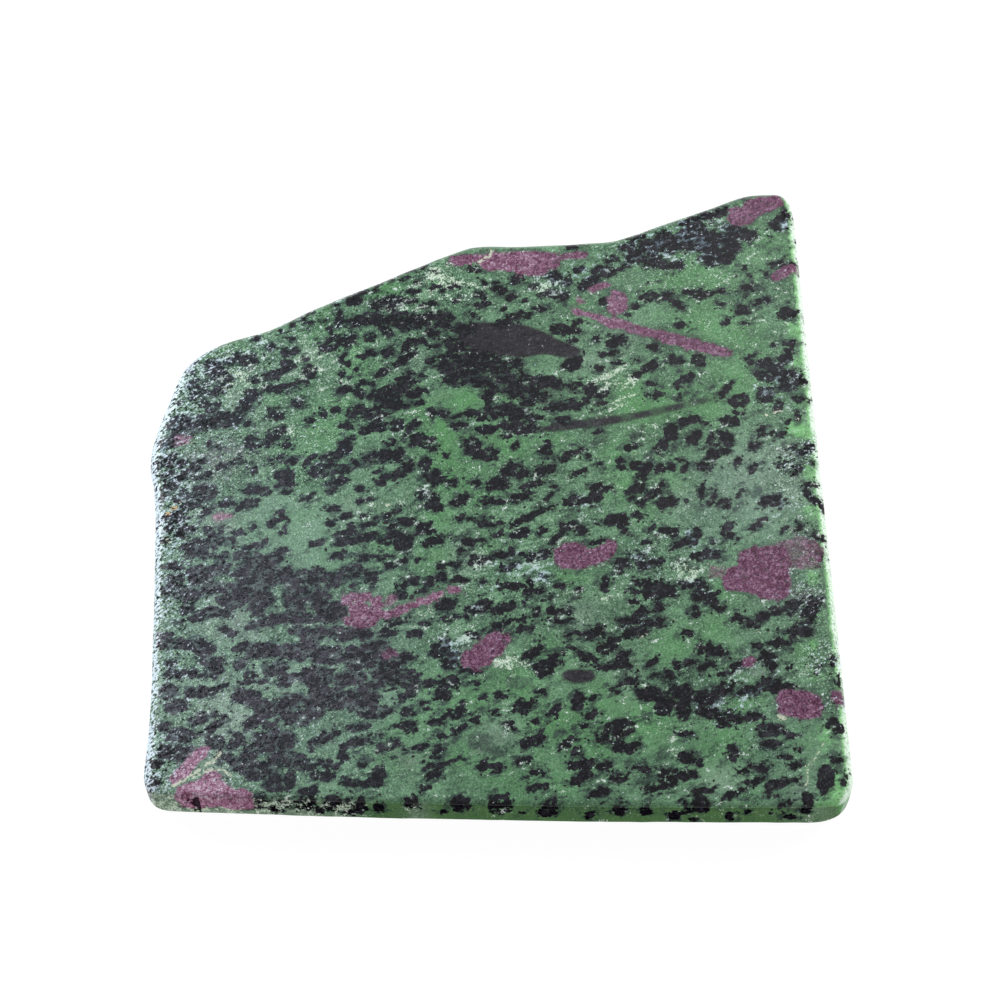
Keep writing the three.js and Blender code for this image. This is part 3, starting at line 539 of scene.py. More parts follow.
    (28.6, -45.9, 1.9, 0.7, -10), (38, -49.3, 1.3, 0.45, 10), (41.5, -49.8, 1.9, 0.7, 15),
    (43.3, -49.3, 1.2, 0.4, 10), (40.5, -51.5, 1, 0.3, -30), (42.3, -52.7, 1, 0.4, 10),
    (45.6, -52.2, 1.1, 0.8, -20), (34.8, -51.3, 1.7, 0.4, 30), (30.4, -51, 1.7, 0.45, 15),
    (50.8, -33.2, 0.9, 0.45, 85), (50.4, -30.2, 0.9, 0.4, 80), (50, -40.7, 1.5, 1.1, -40),
    (48.2, -32, 0.9, 0.4, 70), (28, -48.5, 1.6, 0.7, 10), (-34.5, -40.2, 1.4, 0.9, 40),
    (-6.9, -27.7, 0.9, 1.3, -10), (40.7, -29.4, 1.1, 0.7, 45),
]

# Dark crystals that lie under the surface and show through the clear zoisite as soft shapes:
# x, y, half length, half width, turn, how dark (0 to 1), how soft (mm).
DEEP_SHAPES = [
    (2.9, 25, 7.4, 3.1, -8, 1, 0.5), (9, 23.8, 5.2, 1.7, -12, 1, 0.5),
    (-1.5, 25.6, 3.8, 2.6, -4, 0.95, 0.5), (-3, 19.5, 5, 3.2, -5, 0.5, 1.2),
    (4.5, 15.6, 6.5, 2, -10, 0.45, 1), (3.5, 11.5, 3.6, 1.6, 5, 0.4, 0.8),
    (7, 8.5, 2.8, 0.6, 8, 0.6, 0.3), (11.3, 9.2, 3.2, 0.95, 10, 0.75, 0.35),
    (16, 10, 4, 0.95, 11, 0.72, 0.35), (21, 11, 4.2, 0.85, 12, 0.65, 0.35),
    (26, 12.1, 4, 0.8, 13, 0.6, 0.35), (30.5, 13.2, 3.6, 0.8, 13, 0.5, 0.4),
    (34.5, 14.2, 2.8, 0.7, 13, 0.35, 0.4), (13, -32.7, 2.6, 1.2, -5, 1, 0.6),
    (-1.5, 7.2, 5, 2.4, 10, 0.32, 1.5),
]

# Where black grains crowd together and leave little green: x, y, half length, half width, turn, how
# much (0 to 1), how gradually (mm).
CROWDED_AREAS = [
    (-43.5, 18.5, 4.5, 3.4, 0, 0.8, 1.4), (-45, 15.5, 3.6, 1.4, 30, 0.7, 1.2),
    (-36.5, 15, 2.5, 2.5, 0, 0.6, 1.2), (-36, 18.6, 3, 1.2, 20, 0.5, 1.2),
    (-32.5, 22.6, 4, 1.4, 0, 0.6, 1.2), (-47.5, -3, 4, 4.5, 30, 0.8, 1.6),
    (-1.5, 27.5, 6, 1.8, 0, 0.5, 1.2), (-4.5, 20, 4.6, 3.6, 0, 0.9, 1.2), (3, 16.6, 5.6, 1.9, -8, 0.8, 1),
    (9.5, 15.2, 4.6, 1.9, -8, 0.75, 1), (3.2, 11.6, 4.4, 2, 5, 0.8, 1), (-5.4, 11.7, 4, 0.7, 4, 0.6, 0.8),
    (2, 19, 3, 1.6, 0, 0.6, 1.2), (-10.5, 27.5, 7, 2.4, -6, 0.8, 1.2),
    (-18.5, 28.4, 4.6, 1.6, 12, 0.8, 1.2), (33, 42.5, 9.5, 4.4, 12, 0.75, 1.6),
    (24.5, 42, 3, 3.2, 0, 0.7, 1.4), (20, 40.3, 3, 1.2, 30, 0.5, 1.2),
    (44, 18.5, 4.4, 3.2, -15, 0.7, 1.6), (-43.5, 10.5, 6.5, 1.8, 3, 0.8, 1.2),
    (-46.5, 7.5, 4, 1.5, 42, 0.8, 1.2), (-47.5, 1.5, 3.5, 4, 60, 0.6, 1.6),
    (-43, -1.5, 4, 3, 0, 0.6, 1.6), (-35, -16.5, 8.5, 3.4, 0, 0.85, 1.6),
    (-27.5, -18, 5, 4.4, 10, 0.8, 1.6), (-22.5, -22, 3.2, 3.8, 0, 0.8, 1.4),
    (-34, -21.5, 4.5, 2.5, 0, 0.6, 1.4), (-30, -24.5, 6.5, 2, 0, 0.7, 1.4),
    (-18.5, -31.5, 7.5, 4.4, -5, 0.9, 1.4), (-22, -36.3, 6.5, 2.8, 0, 0.85, 1.4),
    (-31, -29, 5, 1.8, 0, 0.8, 1.4), (-31.5, -45.5, 4.8, 5, 0, 0.9, 1.4),
    (-33, -37.5, 5, 1.8, 5, 0.7, 1.4), (-7, -31, 2.6, 2.6, 0, 0.5, 1.4),
    (31.5, -36.8, 3.6, 2.8, -10, 0.8, 1.4), (37.5, -40.3, 4.4, 1.5, -8, 0.7, 1.2),
    (-13.5, -10, 3.4, 1.6, -5, 0.6, 1.4), (-45.5, -18, 3.6, 2.2, 0, 0.8, 1.4),
    (-45, -43.5, 3.2, 2.8, 0, 0.7, 1.4), (23.5, -24.5, 5, 1.9, 12, 0.6, 1.2),
    (22.5, -14.5, 4, 1.5, 5, 0.6, 1.2), (-24.5, 3.5, 3.5, 2.6, 15, 0.5, 1.4),
    (-15, 15.5, 4.6, 2.4, 12, 0.6, 1.4), (-17, 10.5, 5, 1.6, 25, 0.5, 1.4),
    (25.5, -35.5, 2.6, 2.6, 0, 0.6, 1.2), (-39, -23, 3, 1.4, 0, 0.6, 1.2),
    (-41.5, -11.5, 4.5, 1.8, 10, 0.6, 1.4), (-21, -16, 3.5, 1.6, 10, 0.6, 1.4),
    (4, -14, 5, 1.4, 8, 0.5, 1.2), (18, -43, 3, 2.4, 0, 0.4, 1.2), (24.5, -19, 2.8, 2, 0, 0.5, 1.2),
    (47, -23.5, 2.6, 3.4, 0, 0.5, 1.4), (-30, 15, 4, 1.6, 20, 0.4, 1.4), (-46.5, -36, 2, 4, 0, 0.5, 1.4),
    (-20, -10.5, 4, 1.2, 12, 0.5, 1.2), (13, -24.5, 4, 1.2, 10, 0.3, 1.2),
    (-14, 3, 3.5, 1.4, 20, 0.4, 1.2), (2.5, 1.5, 2.6, 1.4, 15, 0.5, 1),
    (-26.5, -38.5, 4.5, 2.6, 10, 0.8, 1.2), (-23.5, -26.5, 5, 1.6, 8, 0.8, 1.2),
    (37.5, -35, 4, 1.6, 0, 0.7, 1.2), (-12.5, -33.5, 3, 1.6, 20, 0.7, 1), (3, 20.5, 3.2, 1.8, 0, 0.7, 1),
    (41.5, 15, 2.8, 1.6, 0, 0.5, 1.2), (-41, -18.5, 5, 2.6, 0, 0.8, 1.4),
    (38, -30.8, 4.4, 1.5, 8, 0.6, 1.2), (-8.5, 25.5, 4.5, 1.6, 0, 0.7, 1.2),
    (10, 34.2, 5, 1.6, 0, 0.5, 1.2),
]

# Grains just under the surface, which show through it as grey spots, in the same way as GRAINS.
VEILED_GRAINS = [
    (-4.6, 9.3, 1.6, 1, 0), (40.5, -2.2, 1.1, 0.6, 65), (32, -4.8, 0.9, 0.4, 0),
    (31.6, 15.1, 0.9, 0.4, 30), (34, 16.3, 0.6, 0.4, 0), (42.5, 34.2, 0.9, 0.45, 0),
    (45.6, 42, 1.3, 0.3, 20), (43.2, 42.4, 1, 0.4, 0), (18.8, -3.9, 0.9, 0.3, 15),
    (12.3, -20, 0.8, 0.5, 60), (15.6, -17.2, 1, 0.3, 65), (3, -33.8, 0.8, 0.6, 0),
    (9.7, -34, 0.7, 0.35, 0), (6.5, -35, 0.8, 0.45, 10), (10, -42, 0.9, 0.6, 0), (1, -45, 1.1, 0.45, 0),
    (-1.8, -43.6, 1.7, 0.9, 10), (25, -45, 0.9, 0.6, 0), (37, -28.5, 0.9, 0.6, 0), (44, -33, 1, 0.4, 0),
    (-4, 8.5, 1.1, 0.6, 0), (-3, -9, 1, 0.3, 10), (-0.8, -38.3, 0.9, 0.4, 0),
    (-13.9, -38.2, 0.8, 0.5, 60), (31, 2, 1.2, 0.5, 55), (22.5, 8, 1.6, 0.6, 40), (15.5, 6, 1.8, 0.5, 30),
    (28.5, 5.8, 1.4, 0.5, 55), (12, -6.2, 1.6, 0.4, 20), (24, 4, 1.5, 0.5, 40), (18, -13.9, 1.2, 0.4, 5),
    (37.5, -4.5, 1.3, 0.5, 60), (30, -15, 1.2, 0.5, 20), (35, -13.5, 1, 0.4, 20),
    (-1.6, -42.5, 1.5, 0.9, 20), (0.2, -44.3, 1.2, 0.6, 15), (4.2, -34, 1.7, 0.9, 0),
]

# Where the zoisite is broken up into small white grains: x, y, radius, strength.
SUGARY_AREAS = [
    (-6.5, 36, 3.5, 0.7), (-11.5, 33.6, 4, 0.6), (-16, 30.6, 2.5, 0.4), (19, 18.2, 2.8, 0.9),
    (17.2, 17.2, 1.6, 0.7), (21.3, 16.5, 2.4, 0.8), (20.8, 13.6, 1.8, 0.8), (19.3, 12.3, 1.6, 0.6),
    (24.5, 9, 1.8, 0.6), (-41.5, 16.5, 2.6, 0.7), (-38.5, 17.5, 2, 0.6), (-28.7, 23, 2.2, 0.7),
    (-25.5, 17, 2.6, 0.5), (8, 35, 2, 0.5), (10, -11.8, 2, 0.6), (6.5, -14, 2, 0.6),
    (30.5, -16, 1.8, 0.7), (2, -31, 2, 0.6), (26, -41, 2.2, 0.6), (17.3, -20.7, 1.2, 0.9),
    (-46, -40, 2.5, 0.3), (-15.5, -4, 2.4, 0.5), (-12.4, -6.2, 1.6, 0.5), (-13, 10.5, 1.8, 0.4),
    (-20.5, 13.5, 1.8, 0.4), (-31, 8.5, 2.2, 0.5), (-36, 3.5, 2.4, 0.2), (-41, -1.5, 3, 0.1),
    (-47.5, -2, 3.5, 0.3), (-9.5, 38, 2.2, 0.6), (-5, 35.5, 3, 0.6), (-38, 19.5, 2.4, 0.5),
    (-40, 15.5, 3, 0.4), (-46.8, -48, 2, 0.5), (-39, -46.5, 2, 0.7), (-48.5, 14, 3, 0.5),
    (-46.5, 18.5, 2.6, 0.3), (-42, 23, 2.2, 0.7), (-36, 26, 2, 0.5), (-9, -20.7, 2, 0.4),
    (-11, -23, 2, 0.5), (-4, -26.5, 2.2, 0.5), (4, -30, 1.8, 0.6), (36.5, -32, 2, 0.3),
    (33, 29.5, 2.6, 0.3), (36, 36, 3, 0.3), (43, 40, 3, 0.4), (25, -12, 2.4, 0.4),
    (14.5, -15.5, 1.6, 0.4), (34.5, 29, 1.2, 0.4), (22, 6.8, 2, 0.4), (44, 28, 2, 0.4),
    (45, 33.5, 1.6, 0.3), (45.2, 4, 2.2, 0.35), (5, -33, 1.4, 0.4), (26.5, -44, 1.6, 0.5),
    (-33.5, -22, 1.4, 0.3), (-27, 20.5, 2, 0.5), (29.5, -15.8, 2.6, 0.9), (9.5, 34.6, 2.8, 0.7),
    (44, -2, 2.6, 0.6), (47.3, -32.5, 2.6, 0.6), (-1.5, -13, 2, 0.6),
]

# Where small cleavage faces glint between the black grains, painted as blue-white crumbs: x, y, radius,
# strength.
GLINTING_AREAS = [
    (-49.5, -49.5, 3, 0.9), (26, 44, 4, 0.9), (31.5, 44.5, 4, 0.9), (35.5, 43, 4, 0.8), (39, 46, 3, 0.7),
    (46.5, 47.2, 2.6, 0.8), (22, 41.5, 3, 0.8), (13.8, 37.2, 2.6, 0.7), (17, 39.5, 3, 0.6),
    (3, -14, 3.5, 0.7), (6.5, -15.5, 3.5, 0.7), (0, -18, 2.5, 0.6), (8, -17.5, 2.5, 0.6),
    (-6, -29.5, 3, 0.9), (-4.5, -27.5, 2.5, 0.6), (23, -13.5, 4, 0.7), (26, -16, 3, 0.5),
    (43.5, 17.5, 3.5, 0.8), (46, 15, 3, 0.6), (31.5, -9.5, 2.8, 0.9), (33, -13, 2.5, 0.6),
    (31, -36, 4, 0.6), (35.5, -39, 3.5, 0.6), (40.5, -41, 2.5, 0.5), (47.5, -19, 3, 0.4),
    (48.5, -31, 2.8, 0.3), (49.5, -41, 2, 0.4), (-50, 0, 3.5, 1), (-49.5, 5.5, 3.5, 1),
    (-48.8, 11.5, 3.5, 1), (-46.5, 17, 3.5, 0.9), (-42.5, 21.5, 3, 0.9), (-49, -6, 4, 1),
    (-48, -12, 3.5, 0.8), (-48, -18, 3, 0.7), (-47.5, -24, 3, 0.7), (-47.5, -30, 3, 0.6),
    (-47.5, -36, 3, 0.7), (-47.5, -43, 3.5, 0.8), (-36, 25.5, 3, 0.8), (-30, 29, 3, 0.7),
    (-43, 8, 4, 0.3), (-40, 1, 4, 0.3), (-45, -1.5, 4, 0.4), (-22, 32.5, 3, 0.6), (-15, 33, 3, 0.4),
    (-36.5, 12.5, 3, 0.5), (15, 36.5, 2.5, 0.5), (-13.5, 9, 2.5, 0.3), (-10, -4, 2.5, 0.25),
    (14.5, -3.5, 2.4, 0.6), (-13, -12, 3, 0.3), (-4, 9, 2, 0.3), (22, -24, 3, 0.5), (10, -23, 2.5, 0.4),
    (-2, -21.5, 2.2, 0.5), (19.5, -8, 2, 0.4), (-28, 15, 3, 0.4), (46, 22, 2.5, 0.5), (5.5, 11, 3, 0.4),
    (-21, -16, 3, 0.3), (9.5, 36.2, 3.4, 0.9), (44.5, -3.5, 3.5, 0.8), (38.5, -33.5, 4, 0.9),
    (31, -19, 3, 0.8),
]

# Where the green is clearer and stronger: x, y, radius, strength.
LIVELY_AREAS = [
    (-49.8, 13.5, 2.2, 0.8), (-46.5, 21.6, 2.4, 0.9), (-51, 9.5, 1.6, 0.7), (-33.5, 14, 2.2, 0.6),
    (-28, 17, 2.2, 0.6), (-36, 8, 2.4, 0.6), (-31, 1.5, 2.6, 0.6), (-25, 7, 5, 0.6), (-24, -4, 6, 0.5),
    (-22, 24, 2.6, 0.7), (-19.5, 20, 2.4, 0.7), (-24, 13, 2.4, 0.7), (-42, 13.6, 1.6, 0.5),
    (-29, -8.5, 4, 0.8), (-24.5, -13.5, 3.5, 0.8), (-16.7, -11.3, 3, 0.8), (-9.1, -13.8, 3, 0.7),
    (-7.7, -7, 3, 0.8), (-36.5, -9.5, 2.5, 0.6), (-9, -33, 3, 0.6), (-7.5, -37, 3, 0.8),
    (-13, -43, 4, 0.7), (-28.5, 25, 2.5, 0.7), (-26, 29, 2.5, 0.8), (-41, 24, 2.5, 0.7),
    (-17, 34.5, 3, 1), (-12, 12, 2.5, 0.8), (-7, 8, 4, 1), (-6, 1.5, 4, 1), (2.5, 14.2, 2.5, 0.9),
    (-1, -2.5, 2.5, 0.7), (2, 6, 3.5, 0.9), (24, 12.5, 5, 0.9), (32, 13, 4, 0.8), (38, 17.5, 4, 0.7),
    (22, 15.5, 3, 0.5), (20, -1, 3, 0.8), (18.5, 4.5, 2.5, 0.7), (28, 0, 3, 0.7), (35, 37, 5, 0.6),
    (43, 44, 4, 0.6), (33, 27, 5, 0.8), (40, 25, 4, 0.7), (30, 37, 4, 0.6), (12, -16, 3, 0.8),
    (8.5, -28, 2.5, 0.6), (-2, -36, 3, 0.7), (4, -33.5, 3, 0.8), (9, -40.5, 4, 0.8), (-11, -40, 3, 0.7),
    (22.5, -40, 4, 0.8), (15, -45, 3, 0.7), (34, -43, 4, 0.9), (31.5, -48, 3, 0.7), (45, -44, 3, 0.6),
    (37, -36, 3, 0.8), (47, -29, 2.5, 0.6), (33, -25.5, 3, 0.6), (35.5, -19.5, 2.5, 0.7),
    (-4, -46, 3, 0.6), (3, -50, 4, 0.6), (-14, -46.5, 3, 0.5), (10, -50, 3, 0.5), (36, -51, 3, 0.5),
    (27, -28, 3, 0.7), (17, -36.5, 3.5, 0.7), (12, -40, 2.5, 0.5), (0, -10.5, 2, 0.5), (24, -6, 3, 0.4),
    (-31, 4.5, 3, 0.4), (-33, 9.5, 2, 0.4), (-26, 8.5, 3, 0.5), (-29, -0.5, 2.5, 0.4),
    (14.5, 30.5, 2, 0.5), (-4, 14, 3, 0.9), (9.5, 8, 3, 0.6), (37, -11, 3, 0.5),
]

# Where light from the right edge reaches up through the clear zoisite, painted in as a glow: x, y, radius,
# strength.
PAINTED_LIGHT_AREAS = [
    (47.9, 41.7, 2.4, 0.45), (48, 34.5, 2.6, 0.45), (48, 27.6, 2.4, 0.45), (48.2, 21, 1.8, 0.4),
    (48.2, 14.3, 1.6, 0.4), (47.2, 8.9, 2.4, 0.6), (48.3, 1.2, 2.2, 0.52), (48.3, -5.9, 2.2, 0.45),
    (47.9, -17.5, 1.8, 0.52), (48.6, -22.9, 1.6, 0.45), (48.6, -27.8, 1.5, 0.45), (48.8, -33.3, 2, 0.45),
    (49.2, -42.7, 2.2, 0.45), (49.8, -47.5, 2, 0.5), (50.5, -50.8, 2, 0.6), (48.2, -52.6, 2.6, 0.4),
    (42, -53.6, 2.6, 0.3), (31, -53.6, 4, 0.25),
]

# Where the green is smooth, with few specks and white crumbs: x, y, radius, strength.
SMOOTH_AREAS = [
    (12, -44, 12, 0.9), (28, -46, 12, 0.9), (-6, -44, 10, 0.7), (16, -30, 9, 0.5), (38, -30, 7, 0.5),
    (42, -48, 8, 0.7), (-6, 8, 6, 0.6), (24, 12, 6, 0.6), (-5, 14.5, 4, 0.7), (6, 20, 7, 0.4),
]

# Pale zoisite with little green in it: x, y, radius, strength.
PALE_AREAS = [
    (40, 1, 6, 0.3), (45.5, -1.5, 3, 0.4), (45.5, 4.5, 2.5, 0.4), (-38, -41, 2.3, 0.8),
    (-36, -40, 1.8, 0.8), (-39.5, -36.7, 2, 0.8), (-42, -37.7, 2.2, 0.5), (-34, -33.5, 2, 0.6),
    (-38.5, -47.6, 1.4, 0.9), (-38, -21.5, 2.5, 0.6), (-41.5, -20, 2, 0.6), (-41.5, -25, 2.5, 0.5),
    (-35, -25.5, 2, 0.5), (-40.5, -32.8, 2, 0.4), (-29.5, -33.6, 2, 0.4), (-39.5, -8, 3, 0.4),
    (-44, -7, 3, 0.4), (-36.5, 3, 3, 0.4), (-35, 10, 2.5, 0.4), (-40, 14, 2.5, 0.5), (-28.5, 22, 2, 0.4),
    (-12, -46, 2.5, 0.3), (-21.5, -6, 4, 0.3), (20, -34.5, 3, 0.3), (40, -32, 4, 0.2), (16, 21, 3, 0.3),
    (20, 26, 3, 0.3), (-12, 21, 3, 0.3), (33, -49.5, 3, 0.4), (2, -42, 3, 0.3), (44, -51, 2, 0.3),
    (-4, -29, 2, 0.4), (-46.5, -33.8, 2, 0.4), (-4.2, -12.8, 3, 0.5), (13.7, -23.9, 3, 0.4),
    (28.6, -3.1, 3, 0.3), (-38.3, -43.3, 2.5, 0.4),
]

# Pale veins: the points they run through, and their half width.
VEINS = [
    ([(-45.6, -50.2), (-43.7, -49), (-42, -47.9), (-40, -46.3), (-38.8, -44.9)], 0.16),
    ([(-43, -49.2), (-40.5, -47.8), (-38.6, -47.7), (-37.5, -48.5)], 0.2),
    ([(48.3, -43.5), (46.9, -45.4), (46.4, -46.3), (45.7, -47), (45.6, -49.2), (45, -51.4)], 0.09),
    ([(42.2, -39), (43, -39.4)], 0.3), ([(-49.8, -9.3), (-48.9, -10.2), (-47.9, -11.5)], 0.12),
    ([(-15.9, -4.3), (-15.3, -4.2)], 0.2), ([(22.1, -26.6), (22.5, -26.4)], 0.22),
    ([(0.2, 41.8), (-0.2, 40.6), (-2, 39.4)], 0.2),
    ([(42.5, 11.3), (44, 12), (45.5, 12.1), (46.8, 11.3), (47.3, 10.2)], 0.04),
]

# Narrow dark cracks, in the same way.
CRACKS = [
    ([(-43.2, -48.9), (-42, -48.2), (-40.8, -47.4)], 0.08),
    ([(-43.6, -52.1), (-42.9, -52), (-42.1, -51.8)], 0.2),
    ([(-41.4, -41.3), (-40.2, -40.9), (-39.3, -40.3)], 0.14),
    ([(-41.2, -17.4), (-40.3, -17.2), (-39.5, -16.8)], 0.16),
]

# Where the polish is poor, so that the stone looks dull and pitted: x, y, radius, strength.
DULL_AREAS = [
    (-44, -40, 16, 0.9), (-30, -32, 16, 0.8), (-46, -14, 14, 0.8), (-30, -12, 12, 0.6), (-47, 6, 9, 0.6),
    (-34, 20, 9, 0.3), (-20, -34, 10, 0.6), (42, -44, 9, 0.25), (42, 0, 9, 0.5), (-24, 0, 7, 0.2),
    (37, -7, 8, 0.5), (44, -20, 6, 0.3), (45, -13, 3, 0.4),
]

# Black grains cut by the front face: x, height, half width, half height.
FRONT_GRAINS = [
    (-33.8, 5.5, 1.6, 2.4), (-31, 3.2, 1, 1.4), (-29.6, 5.8, 0.9, 1.8), (-26.8, 5.2, 1.3, 2.2),
    (-24.6, 3.4, 0.9, 1.4), (-22.6, 5.8, 1.4, 2.6), (-20.4, 4.6, 1, 2.4), (-18.8, 5.2, 0.9, 2.6),
    (-15.9, 5.2, 0.6, 1.3), (-11.1, 6.6, 0.8, 1.7), (-6.7, 4.1, 0.3, 0.6), (-4.2, 6.2, 1.4, 2),
    (0.6, 6.9, 0.9, 1), (2.2, 6.4, 0.6, 2), (1.2, 4.4, 0.9, 1.1), (4.7, 3.8, 0.4, 0.6),
    (8.2, 4.9, 1.3, 2), (9.2, 6.4, 0.6, 1.2), (14.3, 3.6, 0.6, 1.3), (18.6, 5.2, 0.9, 1.6),
    (22.4, 5.2, 0.8, 1.5), (26.4, 3.9, 0.9, 1.8), (28, 5.6, 0.8, 1.4), (30.1, 6.3, 1.1, 1.3),
    (29.6, 2.2, 0.7, 0.7), (34.5, 3.4, 0.8, 1.6), (37, 5.6, 0.4, 0.8), (40.8, 4.5, 0.4, 0.7),
    (42.9, 3.4, 1, 0.6), (45.4, 6.6, 0.8, 2),
]

# Where the front cut is crumbly: x, y, radius, strength.
FRONT_CRUMBLY_AREAS = [
    (-49, -53, 4, 0.9), (-44, -53, 4, 1.1), (-38, -53, 4, 0.9), (-32, -53, 3, 0.8), (-27, -53, 3, 0.75),
    (-21, -53, 2.5, 0.7), (-11, -53, 1.5, 0.5), (47, -53, 4, 0.3),
]

# Where grinding tore small crumbs out of the surface, so that it sparkles: x, y, radius, strength.
# The sparkle is painted: white glints, and black shade in the torn-out holes.
ROUGH_AREAS = [
    (-52, 3, 8, 1), (-50, 14, 7, 0.9), (-45, 21, 6, 0.8), (-50, -8, 7, 1), (-50, -20, 6, 0.9),
    (-50, -32, 6, 0.8), (-50, -44, 6, 0.8), (-49.5, -49.5, 4, 1), (-40, 10, 7, 0.4), (-40, 0, 8, 0.3),
    (-36, 22, 6, 0.6), (-24, 27, 6, 0.5), (-8, 36, 5, 0.4), (-42, -16, 9, 0.4), (-40, -32, 10, 0.4),
    (-38, -46, 8, 0.5), (-28, 6, 9, 0.4), (-24, -26, 10, 0.3), (-26, -40, 9, 0.3), (46.5, -19, 3, 0.7),
    (45.5, 3, 3.2, 0.9), (50, -30, 3, 0.7), (30, 43, 8, 0.4), (44, 18, 4, 0.3), (35, -38, 6, 0.3),
    (5, -16, 6, 0.3), (24, -14, 6, 0.3), (48.5, 6, 2, 0.8), (47.5, -29.5, 2, 0.4), (48, -11, 3, 0.5),
    (47.5, -22, 2.5, 0.7), (48, -33, 2.6, 0.6), (48.5, -3, 2.5, 0.6), (48.5, 30, 2, 0.4),
    (48.5, 18.5, 2, 0.7), (50.5, -38, 2, 0.6),
]

# Rusty specks, in the same way as GRAINS.
RUST_SPECKS = [
    (-47.8, -4.8, 0.55, 0.35, 20), (-48.9, -5.7, 0.4, 0.3, 0), (-49.2, -4.7, 0.25, 0.2, 0),
]

# Where very fine ruby greys the rock: x, y, radius, strength.
MAUVE_AREAS = [
    (-42, 3.5, 4, 0.8), (-38.5, 5, 2, 0.7), (-44, -2, 4, 0.5), (-46, 3, 3, 0.5), (-40.5, -7.5, 2, 0.7),
    (-39, -10, 2, 0.5), (-38.5, -20, 2.5, 0.5), (-37.5, -24.5, 3, 0.5), (-41, -30, 2, 0.3),
    (45.5, 5, 2.5, 0.6), (47, 1, 2, 0.4), (46, -20, 3, 0.8), (47.5, -23, 2, 0.6), (48.5, -31.5, 2, 0.6),
    (48, -27, 2, 0.3), (46.5, -46, 2, 0.5), (45, -50, 2, 0.4), (17, -40, 2, 0.3), (-12.5, -46, 3, 0.4),
    (-31, -13, 3, 0.4), (-26, -20, 4, 0.4), (46, -8, 3, 0.4), (46.8, -12, 3, 0.8),
    (-0.5, -43.5, 2.5, 0.6), (38, -31.5, 3, 0.5),
]


# ---- sampling the CAD slab ----

def cad_surface():
    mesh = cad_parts["slab"].data
    points = [vertex.co / MM for vertex in mesh.vertices]
    return BVHTree.FromPolygons(points, [tuple(face.vertices) for face in mesh.polygons])


def spread_evenly(points, count, closed=False):
    """The given number of points, evenly spaced along a line of points."""
    line = np.vstack([points, points[:1]]) if closed else points
    along = np.concatenate([[0], np.cumsum(np.linalg.norm(np.diff(line, axis=0), axis=1))])
    wanted = np.linspace(0, along[-1], count, endpoint=not closed)
    return np.column_stack([np.interp(wanted, along, line[:, axis]) for axis in range(line.shape[1])])


def outline(surface):
    """Evenly spaced points round the slab's edge at half its height, counter-clockwise."""
    middle = Vector((0, 0, THICKNESS / 2))
    turns = np.linspace(0, 2 * math.pi, OUTLINE_RAYS, endpoint=False)
    hits = [surface.ray_cast(middle, Vector((math.cos(turn), math.sin(turn), 0)))[0] for turn in turns]
    return spread_evenly(np.array([hit.xy for hit in hits]), RIM_POINTS, closed=True)


def rim_rows(surface):
    """Rows of points round the edge, from the underside's border over the side to the top's border."""
    tilts = np.linspace(-math.pi / 2, math.pi / 2, RIM_FAN_RAYS)
    columns = []
    for point in outline(surface):
        outward = Vector((*point, 0)).normalized()
        core = Vector((*point, THICKNESS / 2)) - outward * RIM_INSET
        rays = [outward * math.cos(tilt) + Vector((0, 0, math.sin(tilt))) for tilt in tilts]
        profile = np.array([surface.ray_cast(core, ray)[0] for ray in rays])
        columns.append(spread_evenly(profile, RIM_ROWS))
    return np.array(columns).transpose(1, 0, 2)


# ---- mesh ----

def face_filling(border, spacing):
    """Points in a triangular grid inside a border, kept clear of it."""
    reach = np.linalg.norm(border, axis=1)
    turns = np.unwrap(np.arctan2(border[:, 1], border[:, 0]))
    size = reach.max()
    rows = np.arange(-size, size, spacing * TRIANGLE_HEIGHT)
    grid = np.array([(x + (i % 2) * spacing / 2, y) for i, y in enumerate(rows)
                     for x in np.arange(-size, size, spacing)])
    turn = turns[0] + (np.arctan2(grid[:, 1], grid[:, 0]) - turns[0]) % (2 * math.pi)
    allowed = np.interp(turn, turns, reach, period=2 * math.pi)
    return grid[np.linalg.norm(grid, axis=1) < allowed - BORDER_GAP * spacing]


def cap(border, spacing):
    """The triangles of a flat face: points inside the border, and corners counted from the border on."""
    inside = face_filling(border, spacing)
    count = len(border)
    points = [Vector(point) for point in np.vstack([border, inside])]
    edges = [(i, (i + 1) % count) for i in range(count)]
    made, _, triangles, sources, _, _ = delaunay_2d_cdt(points, edges, [], ONLY_INSIDE, TINY)
    assert len(made) == len(points), "the face's points are too close together"
    return inside, [[sources[corner][0] for corner in triangle] for triangle in triangles]


def rim_faces():
    """The four-sided faces between the rows."""
    faces = []
    for low in range(0, (RIM_ROWS - 1) * RIM_POINTS, RIM_POINTS):
        high = low + RIM_POINTS
        for i in range(RIM_POINTS):
            following = (i + 1) % RIM_POINTS
            faces.append((low + i, low + following, high + following, high + i))
    return faces


def slab_mesh():
    """The whole stone as points and faces, with their corners counter-clockwise from outside."""
    rows = rim_rows(cad_surface())
    points = rows.reshape(-1, 3)
    faces = rim_faces()
    for row, height, spacing in ((0, 0.0, UNDERSIDE_SPACING), (RIM_ROWS - 1, THICKNESS, TOP_SPACING)):
        inside, triangles = cap(rows[row, :, :2], spacing)
        border_start, inside_start = row * RIM_POINTS, len(points) - RIM_POINTS
        for triangle in triangles:
            corners = [c + (border_start if c < RIM_POINTS else inside_start) for c in triangle]
            # the underside is seen from below
            faces.append(corners if height else corners[::-1])
        points = np.vstack([points, np.column_stack([inside, np.full(len(inside), height)])])
    return points, faces


# ---- noise on points ----

